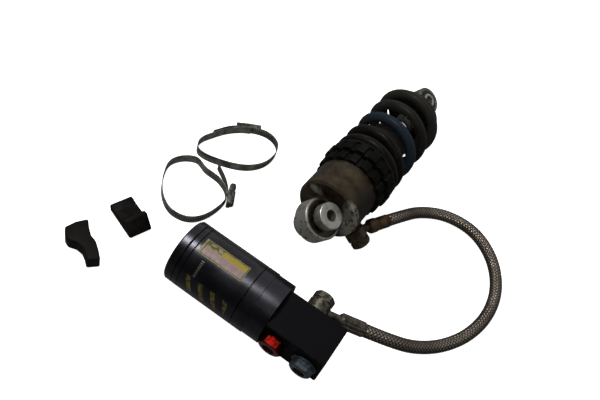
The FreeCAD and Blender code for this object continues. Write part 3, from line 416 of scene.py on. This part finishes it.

# Damper head: an aluminium casting, machined and hard-anodised, that closes the damper and
# carries the upper eye. Its anodising has worn to bare metal round the eye's rim and on the lug,
# and its side towards the hose is painted darker, a painted shade.
EYE_LEAN = math.radians(60)
EYE_AXIS = (math.cos(EYE_LEAN), 0, math.sin(EYE_LEAN))
EYE_RIM = (0.0192, 0.0202)
SHADED_SIDE = (0.004, 0.034)
BARE_PATCHES = (((-0.019, 0.018, 0.0165), (0.0085, 0.004, 0.0055)),
                ((0.027, 0.0165, 0.012), (0.016, 0.0085, 0.034)))


def product(tree, first, second):
    """Two masks multiplied."""
    return maths(tree, "MULTIPLY", first, second)


def ellipse(tree, centre, spans, soft=0.35):
    """A mask that is 1 inside an ellipsoid and fades to 0 over the last share of its radius."""
    moved = add(tree, "VectorMath", {"operation": "SUBTRACT"}, i0=coordinates(tree), i1=centre)
    scaled = add(tree, "VectorMath", {"operation": "DIVIDE"}, i0=moved.outputs[0], i1=spans)
    far = add(tree, "VectorMath", {"operation": "LENGTH"}, i0=scaled.outputs[0])
    return ramp(tree, far.outputs["Value"], 1.0, 1.0 - soft)


def recolour(tree, share, colour):
    """Lays another colour over a finish's base colour where share is 1."""
    base = tree.nodes["Principled BSDF"].inputs["Base Color"]
    tree.links.new(mixed(tree, share, base.links[0].from_socket, tone(*colour)), base)


head_finish = aged("worn_head", (24, 18, 12), (66, 57, 43), (104, 99, 88), 0.02, metal=0.6,
                   rough=(0.38, 0.58), specular=0.12, width=0.0008, low=0.34, high=0.66, grain=0.3)
tree = head_finish.node_tree
aside = add(tree, "SeparateXYZ", Vector=coordinates(tree)).outputs[0]
# Painted shade: the head is painted darker towards the hose's side.
recolour(tree, ramp(tree, aside, *SHADED_SIDE, high=0.75), (20, 15, 10))
rubbed = mottled(tree, 0.006, 0.36, 0.5)
for centre, spans in BARE_PATCHES:
    recolour(tree, product(tree, ellipse(tree, centre, spans), rubbed), (122, 119, 108))
place = coordinates(tree)
on_axis = add(tree, "VectorMath", {"operation": "PROJECT"}, i0=place, i1=EYE_AXIS).outputs[0]
off_axis = add(tree, "VectorMath", {"operation": "DISTANCE"}, i0=place, i1=on_axis).outputs["Value"]
near_eye = ellipse(tree, (0, -0.004, 0), (0.027, 0.022, 0.027), soft=0.12)
rim = product(tree, near_eye, ramp(tree, off_axis, *EYE_RIM))
recolour(tree, product(tree, rim, mottled(tree, 0.005, 0.3, 0.46)), (128, 126, 120))
dress(head_finish, "damper_head")

# Ball joint in the upper eye: a hardened race held by two wire clips, a polished ball, and
# two turned top-hat spacers of bright steel that the frame's bolt goes through.
ground_steel = aged("ground_steel", (30, 27, 22), (66, 62, 54), (120, 116, 106), 0.004, metal=0.9,
                    rough=(0.28, 0.42), width=0.0004, amount=0.6, low=0.3, high=0.7)
dress(ground_steel, "upper_bearing_race", "upper_bearing_clips")
ball_steel = aged("ball_steel", (36, 33, 28), (74, 70, 62), (110, 106, 98), 0.005, metal=0.9,
                  rough=(0.2, 0.4), width=0.0003)
dress(ball_steel, "upper_bearing_ball")
spacer_steel = aged("spacer_steel", (112, 111, 106), (158, 157, 151), (196, 194, 188), 0.005, metal=0.85,
                    rough=(0.3, 0.5), width=0.0005, amount=0.6, low=0.3, high=0.7)
dress(spacer_steel, "upper_eye_spacers")

# Damper body: a steel tube, hard-chromed inside and threaded outside for the preload rings,
# blacked. The thread is worn grey on its crests.
THREAD_PITCH = 0.0015
body_finish = aged("threaded_body", (14, 13, 12), (34, 32, 29), (70, 66, 60), 0.008, metal=0.3,
                   rough=(0.45, 0.65), specular=0.12)
tree = body_finish.node_tree
apart = add(tree, "SeparateXYZ", Vector=coordinates(tree)).outputs
lead = maths(tree, "MULTIPLY", apart[1], 2 * math.pi / THREAD_PITCH)
thread = maths(tree, "SINE", maths(tree, "ADD", lead, maths(tree, "ARCTAN2", apart[2], apart[0])))
recolour(tree, ramp(tree, thread, 0.2, 0.95), (58, 55, 50))
skin = tree.nodes["Principled BSDF"].inputs["Normal"]
ridges = add(tree, "Bump", Strength=0.9, Distance=0.0006, Height=thread, Normal=skin.links[0].from_socket)
tree.links.new(ridges.outputs[0], skin)
dress(body_finish, "damper_body")

# Inside the body: the rod's seal head, and on the rod the piston with its shim stacks, band,
# nut and top-out ring. The rod is chromed steel, the bump stop a block of grey foam.
chrome = aged("hard_chrome", (176, 176, 178), (208, 208, 210), (220, 220, 220), 0.01, metal=1.0,
              rough=(0.08, 0.2), width=0.0003, grain=0.04)
dress(chrome, "damper_rod")
bright_alloy = aged("bright_alloy", (128, 127, 124), (166, 165, 160), (190, 190, 186), 0.008, metal=0.9,
                    rough=(0.3, 0.48), width=0.0005)
dress(bright_alloy, "main_piston", "floating_piston", "seal_head")
blued_steel = aged("blued_steel", (44, 50, 62), (86, 88, 92), (130, 130, 130), 0.006, metal=0.9,
                   rough=(0.25, 0.4), width=0.0003)
dress(blued_steel, "valve_shims", "seal_head_clip")
bronze_band = aged("bronze_band", (92, 66, 38), (124, 94, 58), (150, 118, 80), 0.004, metal=0.5,
                   width=0.0003)
dress(bronze_band, "piston_band")
seal_rubber = aged("seal_rubber", (16, 15, 14), (30, 29, 27), (40, 38, 36), 0.004, rough=(0.5, 0.8),
                   specular=0.2, width=0.0003)
dress(seal_rubber, "rod_seal", "rod_wiper", "floating_piston_seal", "top_out_ring")
foam = aged("bump_foam", (34, 35, 32), (54, 54, 50), (84, 84, 78), 0.006, rough=(0.8, 0.95),
            specular=0.1, grain=0.8, grain_size=0.0009)
dress(foam, "bump_stop")
plated_steel = aged("plated_steel", (84, 80, 72), (120, 116, 106), (150, 147, 138), 0.006, metal=0.85,
                    rough=(0.35, 0.55), width=0.0005)
dress(plated_steel, "piston_nut", "rod_lock_nut", "bump_stop_washer")

# Preload and lock rings: black aluminium rings on the body's thread. Sixteen notches take
# a hook spanner, and three turned grooves leave four thin fins round each rim.
RING_BORE = 0.02308
RING_DEPTH = 0.013
RING_RADII = {"lock_ring": 0.0385, "preload_ring": 0.041}
FINS = 4
FIN_ROWS = 25
GROOVE = 0.0009
PLAIN_EDGE = 0.0018
CHAMFER = 0.0016
CHAMFER_TOP = 0.0004
NOTCHES = 16
NOTCH_DEPTH = 0.0024
HALF_NOTCH = 0.00315
NOTCH_WALL = 0.0008


def finned_ring(node, outer):
    """A closed ring: each profile point sits at bore + share * (rim - drop - bore), where rim is
    the outer radius less the notch depth, which rises over a short wall at each side of a notch,
    and drop is the chamfers' slope or a groove's depth, a clipped slope down to its middle."""
    turn = np.linspace(0, 2 * np.pi, 640, endpoint=False)
    across = ((turn * NOTCHES / (2 * np.pi) + 0.5) % 1 - 0.5) * 2 * np.pi * outer / NOTCHES
    rim = outer - NOTCH_DEPTH * np.clip((HALF_NOTCH - np.abs(across)) / NOTCH_WALL, 0, 1)
    fins = np.linspace(PLAIN_EDGE, RING_DEPTH - PLAIN_EDGE, FIN_ROWS)
    off_groove = np.abs(((fins / RING_DEPTH * FINS + 0.5) % 1) - 0.5)
    drops = GROOVE * np.clip(1.3 - off_groove * 6.0, 0, 1)
    drops[[0, -1]] = 0
    outwards = [0, 0.35, 0.7, 1, 1]
    share = np.concatenate([outwards, np.ones(FIN_ROWS), outwards[::-1]])
    height = np.concatenate([[0, 0, 0, 0, CHAMFER_TOP], fins, [RING_DEPTH - CHAMFER_TOP] + [RING_DEPTH] * 4])
    drop = np.concatenate([[0, 0, 0, CHAMFER, CHAMFER_TOP], drops, [CHAMFER_TOP, CHAMFER, 0, 0, 0]])
    radius = RING_BORE + share[None, :] * (rim[:, None] - drop[None, :] - RING_BORE)
    grid = np.stack([radius * np.cos(turn)[:, None],
                     np.broadcast_to(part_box(node)[0].y + height, radius.shape),
                     -radius * np.sin(turn)[:, None]], -1)
    return surface("finned_" + node, grid, closed_u=True, closed_v=True)


ring_black = aged("ring_black", (3, 3, 2), (9, 8, 6), (70, 66, 58), 0.007, rough=(0.36, 0.56),
                  specular=0.05, width=0.0005, amount=0.4, low=0.36, high=0.64, grain=0.25)
dress(ring_black, "upper_spring_seat")
for node, outer in RING_RADII.items():
    ring = finned_ring(node, outer)
    dress(ring_black, ring)
    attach(ring, node)
    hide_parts(node)

# Main spring: round steel wire, wound left-handed with a close turn at each end, ground flat
# where it meets its seats, and painted black. The paint is chalky, half a turn of it is blue,
# and dust lies on the far coils.
SPRING_LOW, SPRING_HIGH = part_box("main_spring")[0].y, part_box("main_spring")[1].y
TURNS = 4.95
CLOSE_TURNS = (0.75, 1.0)
CLOSE_RISE = 0.0126
OPEN_RISE = 0.0149
COIL_RADIUS = 0.03405
WIRE_RADIUS = 0.00575
FIRST_HEIGHT = 0.0941
FIRST_BEARING = math.radians(344)
BLUE_TURNS = (1.97, 2.51)
BLUE_FADE = 0.05
DUSTY_TURNS = (2.7, 3.6)


def opened(past):
    """Extra rise past a place, by the turn, eased in as a square over the first half turn."""
    return np.where(past <= 0, 0, OPEN_RISE * np.where(past < 0.5, past ** 2, past - 0.25))


turn = np.linspace(0, TURNS, 1000)
bearing = FIRST_BEARING + 2 * np.pi * turn
height = (FIRST_HEIGHT + CLOSE_RISE * turn + opened(turn - CLOSE_TURNS[0])
          - opened(turn - (TURNS - CLOSE_TURNS[1])))
outward = np.stack([np.cos(bearing), np.zeros_like(turn), np.sin(bearing)], -1)
centre = COIL_RADIUS * outward + np.stack([0 * turn, height, 0 * turn], -1)
ahead = np.gradient(centre, axis=0)
ahead /= np.linalg.norm(ahead, axis=1, keepdims=True)
around = np.linspace(0, 2 * np.pi, 28, endpoint=False)
grid = round_wall(centre, outward, np.cross(outward, ahead), WIRE_RADIUS, around)
grid[..., 1] = np.clip(grid[..., 1], SPRING_LOW, SPRING_HIGH)
uv = np.stack(np.broadcast_arrays(turn[:, None], around[None, :] / (2 * np.pi)), -1)
coils = surface("wound_spring", grid, closed_v=True, uv=uv, caps=True)
spring_paint = aged("spring_paint", (5, 4, 3), (16, 14, 11), (46, 43, 38), 0.012, rough=(0.34, 0.55),
                    specular=0.07, width=0.0005, amount=0.25, low=0.34, high=0.66, grain=0.3)
tree = spring_paint.node_tree
turns = add(tree, "SeparateXYZ", Vector=coordinates(tree, "UV")).outputs[0]
begun = ramp(tree, turns, BLUE_TURNS[0] - BLUE_FADE, BLUE_TURNS[0] + BLUE_FADE)
ended = ramp(tree, turns, BLUE_TURNS[1] + BLUE_FADE, BLUE_TURNS[1] - BLUE_FADE)
recolour(tree, product(tree, begun, ended), (22, 30, 37))
recolour(tree, ramp(tree, turns, *DUSTY_TURNS, high=0.5), (40, 40, 36))
recolour(tree, mottled(tree, 0.0022, 0.66, 0.74), (84, 81, 74))
dress(spring_paint, coils)
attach(coils, "root")
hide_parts("main_spring")
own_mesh(coils)

# Lower end: a dished seat, and an eye forged in aluminium with its rubber bush and steel
# sleeve. The wheel on its neck turns the rebound needle inside the rod.
eye_alloy = aged("forged_alloy", (62, 61, 57), (104, 102, 96), (160, 158, 150), 0.008, metal=0.5,
                 rough=(0.42, 0.6), width=0.0008, amount=0.6, grain=0.4)
dress(eye_alloy, "lower_eye")
seat_black = aged("seat_black", (14, 13, 12), (34, 32, 29), (84, 80, 72), 0.006, specular=0.2)
dress(seat_black, "lower_spring_seat")
dress(seal_rubber, "lower_bush")
dress(spacer_steel, "lower_eye_sleeve")
wheel_finish = aged("wheel_finish", (30, 30, 32), (56, 56, 58), (120, 118, 112), 0.005, metal=0.4,
                    rough=(0.35, 0.5), width=0.0004)
dress(wheel_finish, "rebound_wheel")

# Unions: at each end of the hose a hollow bolt clamps a banjo eye between two soft washers.
# The head's union is passivated olive and stained brown, the block's is plain nickel.
olive_plate = aged("olive_plate", (34, 29, 18), (64, 55, 38), (112, 104, 82), 0.005, metal=0.6, amount=0.6)
dress(olive_plate, "head_banjo", "head_banjo_bolt")
brown_stain = aged("brown_stain", (34, 25, 16), (70, 50, 32), (104, 84, 62), 0.006, metal=0.6,
                   rough=(0.45, 0.65), width=0.0005)
dress(brown_stain, "head_hose_ferrule")
nickel = aged("nickel_plate", (46, 44, 37), (86, 82, 71), (150, 146, 134), 0.005, metal=0.85,
              rough=(0.3, 0.48), width=0.0005, amount=0.6)
dress(nickel, "block_banjo", "block_banjo_bolt", "block_hose_ferrule")
soft_copper = aged("soft_copper", (92, 62, 44), (132, 92, 66), (150, 112, 84), 0.004, metal=0.8,
                   rough=(0.4, 0.55), width=0.0003)
dress(soft_copper, "head_sealing_washers")
dress(plated_steel, "block_sealing_washers")

# Reservoir: an aluminium tube, turned and anodised black, with a screwed cap and gas valve
# at one end. Its highlights run in straight bands along it. Worn gold stripes and a row of
# pale ticks are printed on its side.
RESERVOIR_START = np.array((-0.0767, -0.1118, -0.0095))
ALONG = np.array((0.99919, 0.04013, 0.0))
FRONT = np.array((0.04013, -0.99919, 0.0))
UP = np.array((0, 0, 1.0))
RESERVOIR_RADIUS = 0.0315
STRIPES_ALONG = (0.019, 0.068)
STRIPES_ROUND = (-0.06, 0.5)
STRIPE_PITCH = 0.0135
STRIPE_SLANT = 0.012
TICKS_ALONG = (0.0272, 0.0298)
TICKS_ROUND = (0.52, 1.08)
TICK_PITCH = 0.062


def within(tree, value, span):
    """A mask that is 1 where a value lies between the two numbers of a span."""
    return maths(tree, "COMPARE", value, (span[0] + span[1]) / 2, (span[1] - span[0]) / 2)


def patch(tree, first, first_span, second, second_span):
    """A mask that is 1 where each of two values lies in its own span."""
    return product(tree, within(tree, first, first_span), within(tree, second, second_span))


def striped(tree, value, pitch, share):
    """A mask of stripes, each covering a share of its pitch."""
    return maths(tree, "LESS_THAN", maths(tree, "FRACT", maths(tree, "DIVIDE", value, pitch)), share)


anodised = aged("black_anodised", (44, 43, 47), (52, 51, 55), (110, 108, 106), 0.03, metal=1.0,
                rough=(0.25, 0.31), specular=0.2, width=0.0004, amount=0.45, grain=0.1)
tree = anodised.node_tree
moved = add(tree, "VectorMath", {"operation": "SUBTRACT"}, i0=coordinates(tree),
            i1=RESERVOIR_START).outputs[0]
along = add(tree, "VectorMath", {"operation": "DOT_PRODUCT"}, i0=moved, i1=ALONG).outputs["Value"]
forward = add(tree, "VectorMath", {"operation": "DOT_PRODUCT"}, i0=moved, i1=FRONT).outputs["Value"]
upright = add(tree, "SeparateXYZ", Vector=moved).outputs[2]
angle = maths(tree, "ARCTAN2", upright, forward)
slanted = maths(tree, "MULTIPLY_ADD", angle, STRIPE_SLANT, along)
stripes = product(tree, patch(tree, along, STRIPES_ALONG, angle, STRIPES_ROUND),
                  striped(tree, slanted, STRIPE_PITCH, 0.36))
recolour(tree, product(tree, stripes, mottled(tree, 0.004, 0.36, 0.56)), (136, 122, 66))
ticks = product(tree, patch(tree, along, TICKS_ALONG, angle, TICKS_ROUND),
                striped(tree, angle, TICK_PITCH, 0.4))
recolour(tree, ticks, (190, 190, 184))
dress(anodised, "reservoir_tube", "reservoir_end_cap")
dress(plated_steel, "gas_valve")

# Label: a thin printed film round the tube. A cream rim frames a yellow and pale strip above
# and a mauve one below, which pale bars divide.
LABEL_ALONG = (0.0184, 0.066)
LABEL_ROUND = (69, 99.6)
LABEL_RADIUS = RESERVOIR_RADIUS + 0.00012
LABEL_GRID = (40, 24)
FILM = 0.0001
across = np.linspace(*LABEL_ALONG, LABEL_GRID[0])
angles = np.radians(np.linspace(*LABEL_ROUND, LABEL_GRID[1]))[None, :, None]
grid = (RESERVOIR_START + across[:, None, None] * ALONG
        + LABEL_RADIUS * (np.cos(angles) * FRONT + np.sin(angles) * UP))
uv = np.stack(np.meshgrid(*(np.linspace(0, 1, count) for count in LABEL_GRID), indexing="ij"), -1)
label = surface("reservoir_label", grid, uv=uv)
film = label.modifiers.new("film", "SOLIDIFY")
film.thickness = FILM
label_print = aged("label_print", (104, 96, 68), (138, 130, 98), (126, 118, 86), 0.004,
                   specular=0.2, width=0.0001, grain=0.05)
tree = label_print.node_tree
place = add(tree, "SeparateXYZ", Vector=coordinates(tree, "UV"))
length, height = place.outputs[0], place.outputs[1]
recolour(tree, patch(tree, length, (0.045, 0.978), height, (0.06, 0.95)), (44, 39, 20))
recolour(tree, patch(tree, length, (0.065, 0.965), height, (0.1, 0.91)), (122, 114, 84))
recolour(tree, patch(tree, length, (0.42, 0.97), height, (0.58, 0.91)), (132, 116, 42))
printed = patch(tree, length, (0.06, 0.42), height, (0.58, 0.91))
recolour(tree, product(tree, printed, mottled(tree, 0.003, 0.46, 0.52)), (70, 66, 30))
lower = patch(tree, length, (0.09, 0.95), height, (0.12, 0.52))
recolour(tree, product(tree, lower, striped(tree, length, 0.215, 0.86)), (122, 98, 102))
dress(label_print, label)
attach(label, "root")

# Valve block: milled from aluminium bar and anodised matte black. Two cartridges screw into
# its front, each under a hexagonal adjuster, one anodised red and one blue, with a black screw.
# Its round collar is turned and shines as the tube does.
COLLAR_END = 0.1049
block_black = aged("block_black", (4, 4, 6), (9, 9, 12), (56, 56, 54), 0.012, rough=(0.5, 0.68),
                   specular=0.04, width=0.0005, grain=0.2)
dress(block_black, "valve_block")
block = nodes["valve_block"].data
block.materials.append(anodised)
centres = np.zeros(len(block.polygons) * 3)
block.polygons.foreach_get("center", centres)
collar = (centres.reshape(-1, 3) - RESERVOIR_START) @ ALONG < COLLAR_END
block.polygons.foreach_set("material_index", collar.astype(np.int32))
dress(plated_steel, "high_speed_cartridge", "low_speed_cartridge")
red_anodised = aged("red_anodised", (66, 6, 5), (118, 20, 14), (170, 80, 62), 0.004, metal=1.0,
                    rough=(0.3, 0.45), specular=0.4)
dress(red_anodised, "high_speed_adjuster")
blue_anodised = aged("blue_anodised", (24, 32, 38), (56, 66, 74), (96, 104, 108), 0.004, metal=0.4,
                     rough=(0.32, 0.48), specular=0.35)
dress(blue_anodised, "low_speed_adjuster")
screw_black = aged("screw_black", (3, 3, 3), (7, 7, 6), (36, 34, 30), 0.004, specular=0.04, width=0.0003)
dress(screw_black, "high_speed_screw", "low_speed_screw")

# Clamps of the reservoir: rolled stainless bands with pressed slots, each passing through a
# folded housing whose worm screw draws it tight. Handling has left the steel dull and stained.
BAND = 0.0008
BAND_WIDTH = 0.011
LAP = 0.00105
SLOT_PITCH = 0.0023
SLOT_DEPTH = 0.0004
SLOT_FOOT = 0.003
SLOTTED = 0.12
ROW = SLOT_PITCH / 8
FRONT_CLAMP = [
    (-132.0, 74.5), (-147.0, 59.0), (-157.0, 38.5), (-161.5, 19.0), (-152.5, 8.0),
    (-126.0, 14.5), (-102.5, 29.5), (-91.5, 51.0), (-96.0, 76.0), (-113.0, 83.5),
]
FRONT_TAIL = [(-149.0, 60.4), (-159.2, 39.5)]
REAR_CLAMP = [
    (-96.0, -18.0), (-112.0, -8.0), (-132.0, -7.0), (-149.5, -4.0), (-164.0, -23.0),
    (-157.5, -44.5), (-141.0, -64.5), (-121.5, -72.5), (-102.0, -65.0), (-92.5, -42.0),
]
REAR_TAIL = [(-106.0, -5.5), (-126.5, 7.0)]


def band_line(loop, tail):
    """Points along a clamp's band as seen from above, eight to a slot: cubic pieces through the
    corners, given in millimetres, each leaving along the line between its neighbours."""
    points = np.array(loop) / 1000
    ways = np.roll(points, -1, 0) - np.roll(points, 1, 0)
    ways /= np.linalg.norm(ways, axis=1, keepdims=True)
    lapped = points[0] + LAP * np.array((ways[0, 1], -ways[0, 0]))
    run = np.vstack([lapped, np.array(tail) / 1000])
    ends = np.vstack([run, run[-1]])
    run_ways = np.vstack([ways[:1], ends[2:] - ends[:-2]])
    run_ways /= np.linalg.norm(run_ways, axis=1, keepdims=True)
    points, ways = np.vstack([points, run]), np.vstack([ways, run_ways])
    chords = np.linalg.norm(np.diff(points, axis=0), axis=1)[:, None, None]
    t = np.linspace(0, 1, 60, endpoint=False)[None, :, None]
    curve = ((2 * t ** 3 - 3 * t ** 2 + 1) * points[:-1, None]
             + (t ** 3 - 2 * t ** 2 + t) * chords * ways[:-1, None]
             + (3 * t ** 2 - 2 * t ** 3) * points[1:, None]
             + (t ** 3 - t ** 2) * chords * ways[1:, None])
    curve = np.vstack([curve.reshape(-1, 2), points[-1]])
    measured = np.concatenate([[0], np.cumsum(np.linalg.norm(np.diff(curve, axis=0), axis=1))])
    evenly = np.arange(0, measured[-1], ROW)
    return np.stack([np.interp(evenly, measured, curve[:, axis]) for axis in range(2)], -1)


def slotted_band(name, loop, tail):
    """A closed strip on edge along a band's line. Its section is a thin rectangle with round
    corners, and over the slotted length the outer face sinks where a row lies in a slot: the
    depth times a clipped cosine of the length left to the free end, inside the slots' height.
    Its UV is that length and the height, in millimetres."""
    line = band_line(loop, tail)
    ahead = np.gradient(line, axis=0)
    ahead /= np.linalg.norm(ahead, axis=1, keepdims=True)
    outward = np.stack([ahead[:, 1], -ahead[:, 0]], -1)
    left = np.arange(len(line))[::-1] * ROW
    foot = np.array([0.0003, 0.0018, 0.0026, SLOT_FOOT])
    face = np.concatenate([foot, [BAND_WIDTH / 2], BAND_WIDTH - foot[::-1]])
    height = np.concatenate([face, [BAND_WIDTH, BAND_WIDTH], face[::-1], [0.0, 0.0]])
    corner = [BAND * 0.8, BAND * 0.2]
    out = np.concatenate([np.full(9, BAND), corner, np.zeros(9), corner[::-1]])
    inside = np.concatenate([[0, 0, 0, 1, 1, 1, 0, 0, 0], np.zeros(13)])
    groove = (left < SLOTTED) * np.clip(2.2 * np.cos(2 * np.pi * left / SLOT_PITCH) - 0.4, 0, 1)
    reach = out[None, :] - SLOT_DEPTH * groove[:, None] * inside[None, :]
    flat = line[:, None] + outward[:, None] * reach[..., None]
    grid = np.concatenate([flat, np.broadcast_to(BENCH + height, reach.shape)[..., None]], -1)
    uv = np.stack(np.broadcast_arrays(left[:, None] * 1000, height[None, :] * 1000), -1)
    return surface(name, grid, closed_v=True, uv=uv, caps=True)


front_strip = slotted_band("front_slotted_band", FRONT_CLAMP, FRONT_TAIL)
rear_strip = slotted_band("rear_slotted_band", REAR_CLAMP, REAR_TAIL)
band_steel = aged("band_steel", (84, 82, 76), (140, 137, 129), (176, 173, 166), 0.009, metal=0.85,
                  rough=(0.3, 0.5), width=0.0003)
tree = band_steel.node_tree
place = add(tree, "SeparateXYZ", Vector=coordinates(tree, "UV"))
slot_heights = (1000 * SLOT_FOOT - 0.1, 1000 * (BAND_WIDTH - SLOT_FOOT) + 0.1)
slotted = patch(tree, place.outputs[0], (0, 1000 * SLOTTED), place.outputs[1], slot_heights)
slot_shade = striped(tree, maths(tree, "ADD", place.outputs[0], 0.72), 1000 * SLOT_PITCH, 0.45)
# The pressed slots are painted darker than the band, a painted shade in their hollows.
recolour(tree, product(tree, slot_shade, slotted), (54, 52, 47))
for strip, node in ((front_strip, "front_clamp_band"), (rear_strip, "rear_clamp_band")):
    dress(band_steel, strip)
    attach(strip, "root")
    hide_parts(node)
housing_steel = aged("housing_steel", (48, 46, 42), (104, 102, 96), (160, 158, 152), 0.004, metal=0.85,
                     rough=(0.3, 0.5), width=0.0005, amount=0.6)
dress(housing_steel, "front_clamp_housing", "rear_clamp_housing")
dress(wheel_finish, "front_clamp_screw", "rear_clamp_screw")

# Saddle pads: moulded rubber blocks that bed the reservoir on the frame. Their corners are
# round, and their black skin has worn paler along the edges.
PAD_ROUNDING = 0.0018
pad_rubber = aged("pad_rubber", (4, 4, 3), (18, 16, 13), (34, 32, 27), 0.018, rough=(0.4, 0.62),
                  specular=0.05, width=0.001, amount=0.6, grain=0.4)
for node in ("front_saddle_pad", "rear_saddle_pad"):
    shape = bmesh.new()
    shape.from_mesh(nodes[node].data)
    bmesh.ops.remove_doubles(shape, verts=shape.verts, dist=0.00001)
    bmesh.ops.dissolve_limit(shape, angle_limit=math.radians(1), verts=shape.verts, edges=shape.edges)
    mesh = bpy.data.meshes.new("soft_" + node)
    shape.to_mesh(mesh)
    shape.free()
    mesh.polygons.foreach_set("use_smooth", np.ones(len(mesh.polygons), bool))
    moulded = in_scene("soft_" + node, mesh)
    rounding = moulded.modifiers.new("rounding", "BEVEL")
    rounding.width = PAD_ROUNDING
    rounding.segments = 4
    rounding.limit_method = "ANGLE"
    rounding.angle_limit = math.radians(12)
    dress(pad_rubber, moulded)
    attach(moulded, "root")
    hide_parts(node)
